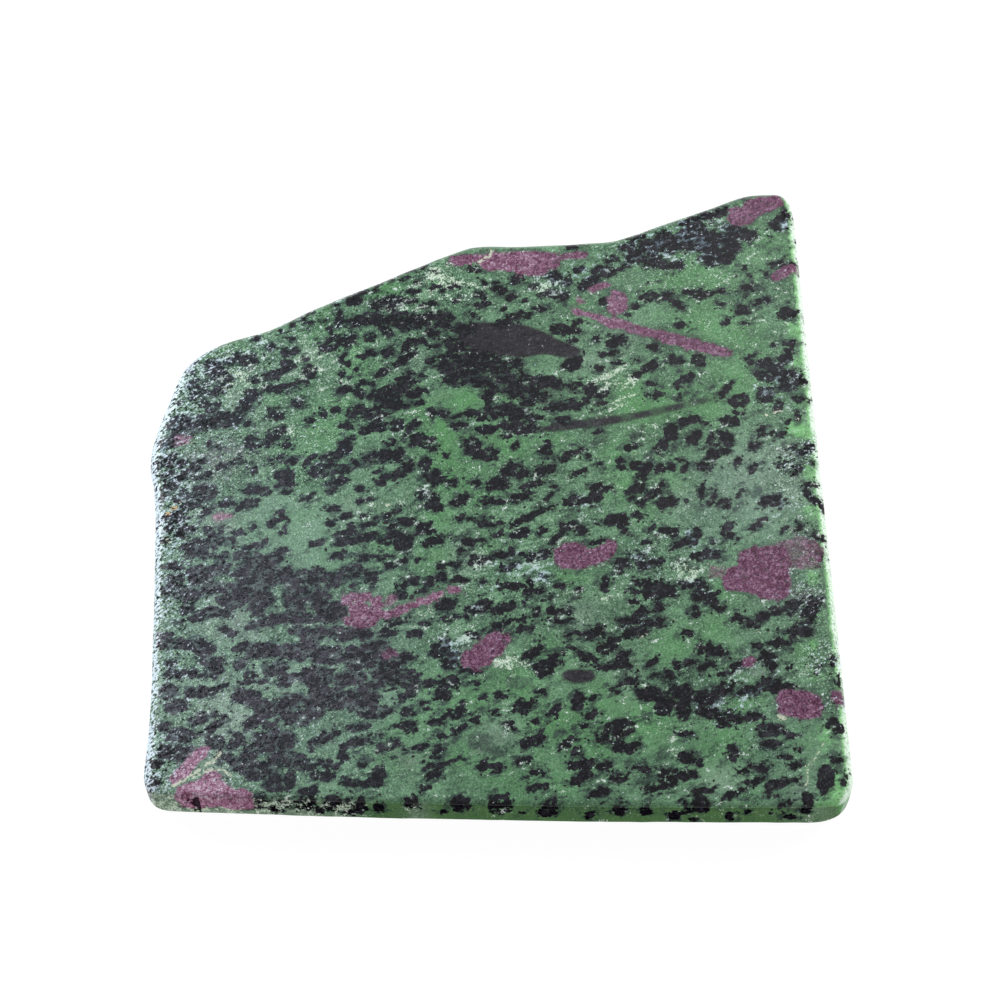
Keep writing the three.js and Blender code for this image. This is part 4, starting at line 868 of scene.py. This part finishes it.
def lattice_noise(points, size, seed):
    """Smooth noise from -1 to 1 at the points, with lumps of about the given size."""
    table = np.random.default_rng(seed).uniform(-1, 1, (NOISE_CELLS,) * 3)
    cell = np.floor(points / size).astype(int)
    part = points / size - cell
    part = part * part * (3 - 2 * part)
    total = np.zeros(len(points))
    for corner in np.ndindex(2, 2, 2):
        x, y, z = ((cell + corner) % NOISE_CELLS).T
        share = np.where(corner, part, 1 - part).prod(axis=1)
        total += share * table[x, y, z]
    return total


def wandered(points, size, amount, seed):
    """The points moved about smoothly, so that shapes measured there come out uneven."""
    moves = [lattice_noise(points, size, seed + axis) for axis in range(3)]
    return points + amount * np.column_stack(moves)


# ---- distances to the minerals ----

def crystal_distance(points, centre, halves, turn, power):
    """Roughly how far points are from an ellipsoid's surface, less than 0 inside. A power over 2
    makes the ellipsoid squarer."""
    x, y, z = (points - centre).T
    sine, cosine = math.sin(math.radians(turn)), math.cos(math.radians(turn))
    offset = np.column_stack([x * cosine + y * sine, y * cosine - x * sine, z])
    parts = np.abs(offset) / halves + TINY
    size = (parts ** power).sum(axis=1) ** (1 / power)
    slope = np.linalg.norm((parts / size[:, None]) ** (power - 1) / halves, axis=1)
    return (size - 1) / slope


def nearest_crystal(points, crystals, power):
    """The distance to the nearest of many crystals, given as centre, half sizes and turn."""
    order = np.argsort(points[:, 0])
    sorted_points = points[order]
    nearest = np.full(len(points), FAR)
    for centre, halves, turn in crystals:
        reach = max(halves[:2]) + FAR
        start, end = np.searchsorted(sorted_points[:, 0], (centre[0] - reach, centre[0] + reach))
        near = start + np.flatnonzero(np.abs(sorted_points[start:end, 1] - centre[1]) < reach)
        distance = crystal_distance(sorted_points[near], np.array(centre), np.array(halves), turn, power)
        nearest[near] = np.minimum(nearest[near], distance)
    unsorted = np.empty(len(points))
    unsorted[order] = nearest
    return unsorted


def line_distance(points, lines):
    """How far points are from the nearest of many lines across the polished face, each given as the
    points it runs through and its half width."""
    nearest = np.full(len(points), FAR)
    for line, half_width in lines:
        for start, end in zip(np.array(line[:-1]), np.array(line[1:])):
            run = end - start
            along = ((points[:, :2] - start) @ run / (run @ run)).clip(0, 1)
            gap = points[:, :2] - start - along[:, None] * run
            nearest = np.minimum(nearest, np.linalg.norm(gap, axis=1) - half_width)
    return nearest


def smooth_step(values, low, high):
    share = ((values - low) / (high - low)).clip(0, 1)
    return share * share * (3 - 2 * share)


# ---- the minerals ----

def on_top(rows, depth_share, least_depth):
    """Crystals cut by the polished face, which reach down into the stone by a share of their size."""
    return [((x, y, THICKNESS), (a, b, least_depth + depth_share * (a + b)), turn)
            for x, y, a, b, turn in rows]


def cut_crystals(rows, z=THICKNESS):
    """Crystals cut by the polished face, or at another height."""
    return [((x, y, z), (a, b, depth), turn) for x, y, a, b, turn, depth in rows]


def ruby_crystals():
    return cut_crystals(RUBIES) + cut_crystals(BURIED_RUBIES, 0)


def buried_grains():
    """Black grains all through the stone, below those that the polished face cuts."""
    draw = np.random.default_rng(BURIED_SEED)
    grains = []
    while len(grains) < BURIED_GRAINS:
        x, y = draw.uniform(-BURIED_REACH, BURIED_REACH, 2)
        length, width, height = [draw.uniform(*limits) for limits in BURIED_HALVES]
        z = draw.uniform(*BURIED_LEVEL)
        low_enough = z + height < THICKNESS - BURIED_BELOW_TOP
        if low_enough and y > FRONT_FACE_Y + BURIED_BEHIND_FRONT:
            grains.append(((x, y, z), (length, width, height), draw.normal(*BURIED_TURN)))
    return grains


def front_grains():
    """Black grains cut by the front face."""
    return [((x, FRONT_FACE_Y, z), (a, FRONT_GRAIN_DEPTH, b), 0) for x, z, a, b in FRONT_GRAINS]


def area_strength(points, areas):
    """How strongly an area's character shows at each point, 0 to 1."""
    left = np.ones(len(points))
    for x, y, radius, strength in areas:
        gap = np.linalg.norm(points[:, :2] - (x, y), axis=1)
        left *= 1 - strength * np.exp(-(gap / radius) ** 2)
    return 1 - left


def shape_strength(points, shapes):
    """How strongly soft-edged shapes show at each point, 0 to 1."""
    left = np.ones(len(points))
    for x, y, a, b, turn, dark, soft in shapes:
        halves = np.array([a, b, b + SHAPE_DEPTH])
        distance = crystal_distance(points, np.array([x, y, THICKNESS]), halves, turn, ROUND_POWER)
        left *= 1 - dark * smooth_step(distance, soft, -soft)
    return 1 - left


def edge_frost_and_glare(normals):
    """How frosted the stone is where it turns from the polished face to a side, 0 to 1: the ground edge's
    own frost, with painted glare most on the left and the far right where the side lamps fall, and not at
    all on the front cut. The limits are parts of the normal."""
    side = smooth_step(1 - normals[:, 2], 0.02, 0.15) * smooth_step(normals[:, 1], -0.95, -0.7)
    side *= 1 - 0.8 * smooth_step(1 - normals[:, 2], 0.75, 0.95)
    left = smooth_step(-normals[:, 0], 0.1, 0.5)
    far_right = smooth_step(normals[:, 0], 0.7, 0.95)
    return side * (0.25 + 0.75 * np.maximum(left, 0.9 * far_right))


def painted_light_strength(points, normals):
    """How much light is painted in as coming through the clear zoisite, 0 to 1: all along the right edge,
    and in the lit areas."""
    edge = smooth_step(normals[:, 0], 0.1, 0.7) * smooth_step(normals[:, 2], -0.15, 0.2)
    return np.maximum(edge, area_strength(points, PAINTED_LIGHT_AREAS) * smooth_step(normals[:, 2], -0.1, 0.3))


def measurements(points, normals):
    """Everything that the material reads from the mesh, by name."""
    uneven = wandered(points, *CRYSTAL_PUSH)
    slack = wandered(points, *AREA_PUSH)
    grains = on_top(GRAINS, *GRAIN_DEPTH) + buried_grains() + front_grains()
    front = smooth_step(-normals[:, 1], 0.5, 0.9)
    areas = {
        "sugar": SUGARY_AREAS, "glint": GLINTING_AREAS, "lively": LIVELY_AREAS, "pale": PALE_AREAS,
        "dull": DULL_AREAS, "rough": ROUGH_AREAS, "mauve": MAUVE_AREAS, "smooth": SMOOTH_AREAS,
    }
    measured = {name: area_strength(slack, rows) * (1 - front) for name, rows in areas.items()}
    measured["pink"] = area_strength(slack, PINK_AREAS)
    measured["lively"] += front
    crumbly = front * area_strength(slack, FRONT_CRUMBLY_AREAS)
    measured["sugar"] += crumbly
    measured["pale"] += crumbly
    measured["smooth"] += front - crumbly
    return measured | {
        "ruby": nearest_crystal(uneven, ruby_crystals(), RUBY_POWER),
        "faint_ruby": nearest_crystal(uneven, cut_crystals(FAINT_RUBIES), FAINT_RUBY_POWER),
        "grain": nearest_crystal(uneven, grains, GRAIN_POWER),
        "veiled": nearest_crystal(uneven, on_top(VEILED_GRAINS, *SHALLOW_DEPTH), ROUND_POWER),
        "rust": nearest_crystal(uneven, on_top(RUST_SPECKS, *SHALLOW_DEPTH), ROUND_POWER),
        "deep": shape_strength(wandered(points, *DEEP_PUSH), DEEP_SHAPES),
        "crowd": shape_strength(slack, CROWDED_AREAS) * (1 - front),
        # The ground edges' frost, with painted glare on the left and far right.
        "ground": edge_frost_and_glare(normals),
        # Painted light through the right edge.
        "lit": painted_light_strength(slack, normals),
        "vein": line_distance(uneven, VEINS),
        "crack": line_distance(points, CRACKS),
    }


# ---- the stone ----

def outward_normals(points, faces):
    mesh = bpy.data.meshes.new("measured")
    mesh.from_pydata(points, [], faces)
    normals = np.empty(len(points) * 3)
    mesh.vertex_normals.foreach_get("vector", normals)
    bpy.data.meshes.remove(mesh)
    return normals.reshape(-1, 3)


def hand_ground(points, normals):
    """The surface as it was left by grinding: almost flat on the faces, uneven on the sides."""
    side = 1 - normals[:, 2] ** 2
    natural = side * smooth_step(normals[:, 1], 0.1, 0.7)
    move = FACE_WAVE * lattice_noise(points, FACE_LUMPS, FACE_SEED)
    move += SIDE_WAVE * side * lattice_noise(points, SIDE_LUMPS, SIDE_SEED)
    move += NATURAL_WAVE * natural * lattice_noise(points, NATURAL_LUMPS, NATURAL_SEED)
    moved = points + normals * move[:, None]
    moved[:, 2] = moved[:, 2].clip(0, THICKNESS + FACE_WAVE)
    return moved


def sawn_faces(mesh):
    """1 for each face of the front cut and the underside, which are sawn and matt, and 0 elsewhere."""
    normals = np.empty(len(mesh.polygons) * 3)
    mesh.polygons.foreach_get("normal", normals)
    normals = normals.reshape(-1, 3)
    return ((normals[:, 1] < SAWN_Y) | (normals[:, 2] < SAWN_Z)).astype(int)


def polished_slab():
    points, faces = slab_mesh()
    normals = outward_normals(points, faces)
    shaped = hand_ground(points, normals)
    mesh = bpy.data.meshes.new("polished_slab")
    mesh.from_pydata(shaped * MM, [], faces)
    mesh.polygons.foreach_set("use_smooth", np.ones(len(faces), dtype=bool))
    mesh.polygons.foreach_set("material_index", sawn_faces(mesh))
    for name, values in measurements(points, normals).items():
        mesh.attributes.new(name, "FLOAT", "POINT").data.foreach_set("value", values)
    slab = bpy.data.objects.new("polished_slab", mesh)
    bpy.context.scene.collection.objects.link(slab)
    return slab


# ---- material ----

class Graph:
    """Makes a material's nodes. Every method gives back what comes out of the nodes it makes."""

    def __init__(self, tree):
        self.tree = tree

    def node(self, kind, inputs, output=0, **settings):
        made = self.tree.nodes.new(kind)
        for name, value in settings.items():
            setattr(made, name, value)
        for socket, value in inputs.items():
            if isinstance(value, bpy.types.NodeSocket):
                self.tree.links.new(value, made.inputs[socket])
            else:
                made.inputs[socket].default_value = value
        return made.outputs[output]

    def attribute(self, name):
        return self.node("ShaderNodeAttribute", {}, "Fac", attribute_name=name)

    def math(self, operation, a, b):
        return self.node("ShaderNodeMath", {0: a, 1: b}, operation=operation)

    def product(self, first, *others):
        for other in others:
            first = self.math("MULTIPLY", first, other)
        return first

    def total(self, *terms, shift=0):
        """The sum of (value, weight) pairs and a shift."""
        value, weight = terms[0]
        result = self.math("MULTIPLY", value, weight)
        for value, weight in terms[1:]:
            result = self.node("ShaderNodeMath", {0: value, 1: weight, 2: result}, operation="MULTIPLY_ADD")
        return self.math("ADD", result, shift) if shift else result

    def step(self, value, low, high):
        """Rises smoothly from 0 at low to 1 at high."""
        return self.node("ShaderNodeMapRange", {"Value": value, "From Min": low, "From Max": high},
                         interpolation_type="SMOOTHSTEP")

    def noise(self, place, size, detail=2, roughness=0.55):
        """Noise about -1 to 1, with lumps of the given size."""
        level = self.node("ShaderNodeTexNoise", {"Vector": place, "Scale": 1 / size, "Detail": detail,
                                                 "Roughness": roughness})
        spread = {0: level, 1: NOISE_SPREAD, 2: -NOISE_SPREAD / 2}
        return self.node("ShaderNodeMath", spread, operation="MULTIPLY_ADD")

    def cells(self, place, size):
        """Crumbs of the given size: how far from a crumb's middle, and three chance values for each."""
        made = self.tree.nodes.new("ShaderNodeTexVoronoi")
        self.tree.links.new(place, made.inputs["Vector"])
        made.inputs["Scale"].default_value = 1 / size
        parts = self.tree.nodes.new("ShaderNodeSeparateColor")
        self.tree.links.new(made.outputs["Color"], parts.inputs[0])
        return made.outputs["Distance"], *parts.outputs

    def mix(self, share, a, b):
        """Colour a where share is 0 and b where it is 1. The node's inputs for colours are 6 and 7, and
        its output for one is 2."""
        return self.node("ShaderNodeMix", {0: share, 6: a, 7: b}, 2, data_type="RGBA")

    def ramp(self, tone, dark, middle, light):
        """A colour that goes from dark at a tone of -1 over middle at 0 to light at 1."""
        lower = self.mix(self.step(tone, -1, 0), dark, middle)
        return self.mix(self.step(tone, 0, 1), lower, light)


class Rock(Graph):
    """The textures that the minerals share, in millimetres."""

    def __init__(self, tree):
        super().__init__(tree)
        place = self.node("ShaderNodeTexCoord", {}, "Object")
        place = self.node("ShaderNodeMapping", {"Vector": place, "Scale": (MM, MM, UPRIGHT * MM)},
                          vector_type="TEXTURE")
        flow = self.stretched(place, FIBRE_STRETCH, FOLIATION)
        blocky = self.stretched(place, LOBE_STRETCH, FOLIATION)
        streaky = self.stretched(place, SPECKLE_STRETCH, GRINDING)
        self.place = place
        _, self.fine, self.fine_shade, self.fine_spark = self.cells(place, DUST_SIZE)
        _, self.crumb, self.crumb_shade, _ = self.cells(place, CRUMB_SIZE)
        self.lobe_distance, self.lobe, self.lobe_shade, _ = self.cells(blocky, LOBE_SIZE)
        self.fibres = self.noise(flow, FIBRE_SIZE, 3, 0.7)
        self.ragged = self.noise(place, RAGGED_SIZE, 3, 0.65)
        self.clouds = self.noise(place, CLOUD_SIZE)
        self.streaks = self.noise(flow, STREAK_SIZE)
        self.speckle = self.noise(streaky, SPECKLE_SIZE, 2, 0.6)
        self.grit = self.total((self.fine, 1.1), (self.crumb_shade, 0.8), shift=-0.95)

    def stretched(self, place, amount, turn):
        """Places squeezed so that a texture there comes out longer through the stone, and along a line
        that is turned so many degrees from +X."""
        turned = (0, 0, math.radians(turn))
        return self.node("ShaderNodeMapping", {"Vector": place, "Rotation": turned,
                                               "Scale": (amount, 1, amount)}, vector_type="TEXTURE")


def colour(red, green, blue):
    """A colour given in ordinary 0 to 255 screen values."""
    return (*(((part / 255 + 0.055) / 1.055) ** 2.4 for part in (red, green, blue)), 1)


GREEN_DARK = colour(48, 70, 58)
GREEN = colour(84, 118, 89)
GREEN_LIGHT = colour(114, 155, 118)
GREEN_LIVELY = colour(88, 146, 85)
GREEN_DULL = colour(132, 160, 143)
GREEN_SAWN = colour(76, 110, 60)
# Painted light of the right edge: lit green up to a near-white painted highlight.
LIT_DARK = colour(88, 146, 88)
LIT = colour(130, 196, 124)
LIT_LIGHT = colour(226, 246, 228)
RUST = colour(222, 184, 134)
FLECK = colour(178, 212, 178)
PALE = colour(150, 166, 154)
MAUVE = colour(108, 106, 110)
HAZE_DARK = colour(24, 30, 32)
HAZE = colour(56, 70, 64)
HAZE_DULL = colour(72, 80, 86)
DEEP_DARK = colour(28, 26, 31)
DEEP = colour(44, 41, 45)
DEEP_LIGHT = colour(72, 68, 76)
BLACK = colour(12, 10, 15)
PAINTED_GLINT_STEEL = colour(96, 108, 126)
SMOKE = colour(108, 117, 120)
CHARCOAL = colour(52, 49, 58)
ASH = colour(74, 68, 78)
CRUMB_YELLOW = colour(208, 226, 198)
CRUMB_WHITE = colour(226, 234, 228)
PAINTED_GLINT_BLUE = colour(164, 190, 202)
RUBY_DARK = colour(66, 32, 50)
RUBY = colour(112, 68, 94)
RUBY_LIGHT = colour(156, 122, 146)
PINK_DARK = colour(116, 64, 88)
PINK = colour(166, 118, 144)
PINK_LIGHT = colour(212, 190, 204)
VEIN = colour(212, 216, 192)
# The dark of cracks, and painted shade in pits and torn-out crumbs.
CRACK_AND_PIT_SHADE = colour(10, 9, 10)
# Partly the whitish frost of ground edges, partly painted glint and glare.
FROST_AND_GLINT_WHITE = colour(216, 228, 238)


# In what follows, g is the rock. Each total is a recipe of textures and measured shapes, with how much
# of each, and each step tells between which two levels of it something begins to show.

def grain_depth(g, edge):
    """How far outside the black crystals, in millimetres, less than 0 in them."""
    clumps = g.total((g.fibres, 1.4), (g.lobe_shade, 0.8), shift=-0.15)
    crowding = g.product(g.attribute("crowd"), clumps)
    return g.total((g.attribute("grain"), 1), (crowding, -1), (edge, 1))


def crystal_edges(g):
    """What makes a crystal's edge bulge in lobes and shed stray crumbs (mm)."""
    stray = g.total((g.step(g.crumb, 0.06, 0.02), -0.8), (g.step(g.crumb, 0.95, 0.99), 0.5))
    return g.total((g.lobe_distance, 0.7), (g.lobe, 0.3), (g.ragged, 0.35), (g.crumb_shade, 0.15),
                   (stray, 1), shift=-0.7)


def zoisite(g, tone, clear_green):
    rock = g.ramp(tone, GREEN_DARK, GREEN, GREEN_LIGHT)
    lively = g.product(g.attribute("lively"), g.step(tone, -1.2, 0.4), 0.8)
    rock = g.mix(lively, rock, clear_green)
    rock = g.mix(g.product(g.attribute("dull"), g.step(tone, -1.2, 1)), rock, GREEN_DULL)
    rock = g.mix(g.product(g.attribute("pale"), g.step(tone, -1.2, 0.5)), rock, PALE)
    mauve = g.step(g.total((g.attribute("mauve"), 1.5), (g.ragged, 0.8), (g.fibres, 0.6)), 0.4, 1.6)
    rock = g.mix(g.product(mauve, 0.9), rock, MAUVE)
    # The right edge's painted glow, up to a near-white painted highlight at its rim.
    lit = g.attribute("lit")
    share = g.total((lit, 1.9), (g.clouds, 0.3), (g.ragged, 0.3), (g.fibres, 0.2), shift=-0.4)
    share = g.product(g.step(share, 0, 0.8), g.step(lit, 0, 0.15))
    bright = g.total((tone, 0.6), (lit, 2.2), shift=-1.25)
    rock = g.mix(share, rock, g.ramp(bright, LIT_DARK, LIT, LIT_LIGHT))
    contrast = g.total((g.attribute("rough"), 0.8), (g.attribute("smooth"), -0.3), shift=0.42)
    rock = g.mix(g.product(g.step(g.fine_shade, 0.78, 0.94), contrast), rock, FLECK)
    return g.mix(g.product(g.step(g.fine_spark, 0.26, 0.1), contrast), rock, GREEN_DARK)


def hazed(g, rock, tone, depth, edge):
    """The rock, dimmed round the black crystals and over buried ones."""
    dim = g.ramp(tone, HAZE_DARK, g.mix(g.attribute("dull"), HAZE, HAZE_DULL), GREEN)
    near = g.total((depth, 1), (g.fibres, 1.2), (g.lobe_shade, 0.7), (g.attribute("dull"), 0.3),
                   shift=-0.35)
    near = g.product(g.step(near, 0.75, -0.1), g.total((g.attribute("lit"), -0.6), shift=0.9))
    rock = g.mix(near, rock, dim)
    veiled = g.step(g.total((g.attribute("veiled"), 1), (edge, 1)), 0.4, -0.4)
    rock = g.mix(g.product(veiled, 0.8), rock, dim)
    beside_ruby = g.step(g.total((g.attribute("ruby"), 1), (edge, 1)), 0.9, 0.1)
    rock = g.mix(g.product(beside_ruby, 0.5), rock, dim)
    deep = g.total((g.attribute("deep"), 1), (g.fibres, 0.16), (g.fine_shade, 0.1), shift=-0.05)
    deep_tone = g.total((g.grit, 0.5), (g.fibres, 0.7), (g.speckle, 0.7))
    return g.mix(g.step(deep, 0.1, 0.9), rock, g.ramp(deep_tone, DEEP_DARK, DEEP, DEEP_LIGHT))


def white_crumbs(g):
    """How white the rock is: crumbs where it is sugary, and a painted net of glints between the lobes where
    it glints.
    """
    sugar = g.attribute("sugar")
    glint = g.attribute("glint")
    dull = g.attribute("dull")
    plenty = g.total((sugar, 1), (glint, 0.4), (dull, -0.2), (g.streaks, 0.9), (g.ragged, 0.3), shift=-0.3)
    likely = g.total((g.crumb, 0.3), (g.fine_shade, 0.4), (g.lobe_distance, 0.6), (g.speckle, 0.3),
                     (plenty, 0.5))
    crumbs = g.product(g.step(likely, 0.93, 1.15), g.step(g.fine_spark, -0.2, 0.8))
    net = g.total((g.lobe_distance, 1), (g.ragged, 0.2), (g.fine_shade, 0.3), (g.speckle, 0.3),
                  (g.streaks, 0.2), (glint, 0.4), (sugar, 0.2), (dull, -0.1),
                  (g.attribute("smooth"), -0.2), shift=-0.12)
    white = g.math("MAXIMUM", crumbs, g.product(g.step(net, 1.02, 1.3), 0.9))
    return g.product(white, g.total((g.attribute("deep"), -0.95), shift=1))


def hornblende(g, white, crumbs):
    """The black crystals: deep black where polished, ashen and gapped where dull."""
    dull = g.attribute("dull")
    dark_tone = g.total((g.grit, 1.1), (g.fibres, 0.6), (g.lobe_shade, 1), (dull, 0.7), shift=-0.9)
    mineral = g.mix(g.step(dark_tone, -0.6, 1), BLACK, g.mix(dull, CHARCOAL, ASH))
    gaps = g.total((g.lobe_distance, 1.4), (g.fibres, 0.7), (g.ragged, 0.7), (g.grit, 0.5), (dull, 0.5))
    gaps = g.product(g.step(gaps, 1.1, 1.9), 0.8)
    mineral = g.mix(gaps, mineral, g.mix(dull, GREEN, SMOKE))
    # Where it glints, the white on the black crystals is painted glint.
    return g.mix(g.product(white, 0.8), mineral, g.mix(g.attribute("glint"), crumbs, PAINTED_GLINT_STEEL))


def ruby_share(g, edge):
    """How much ruby there is, 0 to 1."""
    clear = g.step(g.total((g.attribute("ruby"), 1), (edge, 0.7), shift=0.04), 0.18, -0.18)
    faint = g.step(g.total((g.attribute("faint_ruby"), 1), (edge, 0.9)), 0.3, -0.3)
    return g.math("MAXIMUM", clear, g.product(faint, g.total((g.lobe_shade, 0.5), shift=0.45)))


def ruby_colour(g):
    tone = g.total((g.grit, 1.1), (g.ragged, 0.6), (g.fibres, 0.5), (g.lobe_shade, 0.3), (g.speckle, 0.5),
                   shift=-0.15)
    deep_red = g.ramp(tone, RUBY_DARK, RUBY, RUBY_LIGHT)
    pink = g.ramp(tone, PINK_DARK, PINK, PINK_LIGHT)
    both = g.mix(g.attribute("pink"), deep_red, pink)
    speck = g.product(g.step(g.crumb, 0.1, 0.04), 0.5)
    return g.mix(speck, both, HAZE)


def veined(g, result, edge):
    vein = g.step(g.total((g.attribute("vein"), 1), (edge, 0.5), (g.ragged, 0.15), shift=0.06), 0.08, -0.08)
    result = g.mix(g.product(vein, g.step(g.crumb_shade, -0.4, 0.3), 0.85), result, VEIN)
    rust = g.step(g.total((g.attribute("rust"), 1), (edge, 0.7)), 0.1, -0.2)
    return g.mix(g.product(rust, 0.85), result, RUST)


def frosted_with_glints(g, result, dull_black):
    """The rock with painted glints on the small faces of its rough parts, and painted glare on its side
    edges.
    """
    frost_and_glint = g.total((g.speckle, 1), (g.fine_shade, 0.3), (g.attribute("rough"), 0.53),
                    (g.attribute("ground"), 0.5), (dull_black, -0.15))
    return g.mix(g.product(g.step(frost_and_glint, 0.84, 1), 0.85), result, FROST_AND_GLINT_WHITE)


def hollows(g, edge, dull_black):
    """How much of the surface is crack, pit or torn-out crumb, 0 to 1: dark cracks, and painted shade in
    pits.
    """
    crack = g.step(g.total((g.attribute("crack"), 1), (edge, 0.25)), 0.05, -0.05)
    pit = g.step(g.total((g.noise(g.place, PIT_SIZE, 1), 1), (g.attribute("dull"), 0.32)), 0.88, 1)
    torn = g.total((g.speckle, -1), (g.crumb_shade, 0.3), (g.attribute("rough"), 0.58),
                   (g.attribute("ground"), 0.05), (dull_black, 0.2))
    return g.math("MAXIMUM", g.math("MAXIMUM", crack, pit), g.step(torn, 0.84, 1))


def stone_colour(g, clear_green):
    edge = crystal_edges(g)
    depth = grain_depth(g, edge)
    tone = g.total((g.grit, 0.65), (g.fibres, 0.5), (g.lobe_shade, 0.35), (g.clouds, 0.9), shift=-0.05)
    white = white_crumbs(g)
    # Where the rock glints, its crumbs are painted blue-white glints.
    crumbs = g.mix(g.attribute("glint"), CRUMB_WHITE, PAINTED_GLINT_BLUE)
    crumbs = g.mix(g.attribute("sugar"), crumbs, CRUMB_YELLOW)
    rock = g.mix(white, hazed(g, zoisite(g, tone, clear_green), tone, depth, edge), crumbs)
    black = g.step(depth, 0.06, -0.06)
    result = g.mix(black, rock, hornblende(g, white, crumbs))
    ruby = ruby_share(g, edge)
    result = g.mix(ruby, result, ruby_colour(g))
    dull_black = g.product(black, g.attribute("dull"))
    hollow_shade = hollows(g, edge, dull_black)
    result = frosted_with_glints(g, veined(g, result, edge), dull_black)
    # Cracks, and painted shade in the pits and torn-out crumbs.
    return g.mix(g.product(hollow_shade, 0.92), result, CRACK_AND_PIT_SHADE), black, ruby, hollow_shade


def stone_material(name, clear_green, specular, roughness):
    """The rock, with the green of its clear parts and a finish."""
    material = bpy.data.materials.new(name)
    material.use_nodes = True
    shader = material.node_tree.nodes["Principled BSDF"]
    g = Rock(material.node_tree)
    base, black, ruby, hollow_shade = stone_colour(g, clear_green)
    polish = g.total((g.grit, 0.06), (black, 0.03), (ruby, -0.04), (hollow_shade, 0.7),
                     (g.attribute("ground"), 0.2), (g.attribute("dull"), 0.08), (g.attribute("lit"), 0.3),
                     shift=roughness)
    height = g.total((g.crumb_shade, 0.6), (g.speckle, 0.4))
    bump = g.node("ShaderNodeBump", {"Height": height, "Strength": BUMP_STRENGTH,
                                     "Distance": BUMP_HEIGHT * MM})
    for socket, value in (("Base Color", base), ("Roughness", polish), ("Normal", bump)):
        material.node_tree.links.new(value, shader.inputs[socket])
    shader.inputs["Specular IOR Level"].default_value = specular
    return material


# ---- surroundings ----

def floor():
    half = FLOOR_SIZE * MM / 2
    corners = [(-half, -half, 0), (half, -half, 0), (half, half, 0), (-half, half, 0)]
    mesh = bpy.data.meshes.new("floor")
    mesh.from_pydata(corners, [], [(0, 1, 2, 3)])
    made = bpy.data.objects.new("floor", mesh)
    bpy.context.scene.collection.objects.link(made)
    material = bpy.data.materials.new("pale_floor")
    material.use_nodes = True
    shader = material.node_tree.nodes["Principled BSDF"]
    shader.inputs["Base Color"].default_value = (FLOOR_GREY, FLOOR_GREY, FLOOR_GREY, 1)
    shader.inputs["Emission Color"].default_value = (1, 1, 1, 1)
    shader.inputs["Emission Strength"].default_value = FLOOR_GLOW
    shader.inputs["Roughness"].default_value = 1
    shader.inputs["Specular IOR Level"].default_value = 0
    mesh.materials.append(material)
    return made


def camera():
    lens = bpy.data.cameras.new("camera")
    lens.lens = CAMERA_LENS
    lens.sensor_width = CAMERA_SENSOR
    lens.clip_start = CAMERA_CLIP_START * MM
    made = bpy.data.objects.new("camera", lens)
    tilt = math.radians(CAMERA_ELEVATION)
    back = Vector((0, -math.cos(tilt), math.sin(tilt)))
    made.location = (Vector(CAMERA_TARGET) + back * CAMERA_DISTANCE) * MM
    made.rotation_euler = back.to_track_quat("Z", "Y").to_euler()
    bpy.context.scene.collection.objects.link(made)
    bpy.context.scene.camera = made


def soft_light(name, place, size, power, tint, shines):
    light = bpy.data.lights.new(name, "AREA")
    light.shape = "RECTANGLE"
    light.size, light.size_y = size[0] * MM, size[1] * MM
    light.energy = power
    light.color = tint
    made = bpy.data.objects.new(name, light)
    made.location = Vector(place) * MM
    made.rotation_euler = Vector(place).to_track_quat("Z", "Y").to_euler()
    made.visible_glossy = shines
    bpy.context.scene.collection.objects.link(made)


def studio():
    world = bpy.data.worlds.new("studio")
    world.use_nodes = True
    background = world.node_tree.nodes["Background"]
    background.inputs["Color"].default_value = (*WORLD_TINT, 1)
    background.inputs["Strength"].default_value = WORLD_STRENGTH
    bpy.context.scene.world = world
    bpy.context.scene.view_settings.view_transform = "Standard"
    for light in LIGHTS:
        soft_light(*light)


# ---- the scene ----

camera()
studio()
floor()

slab = polished_slab()
slab.data.materials.append(stone_material("polished_zoisite", GREEN_LIVELY, *POLISHED))
slab.data.materials.append(stone_material("sawn_zoisite", GREEN_SAWN, *SAWN))
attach(slab, "root")
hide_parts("slab")
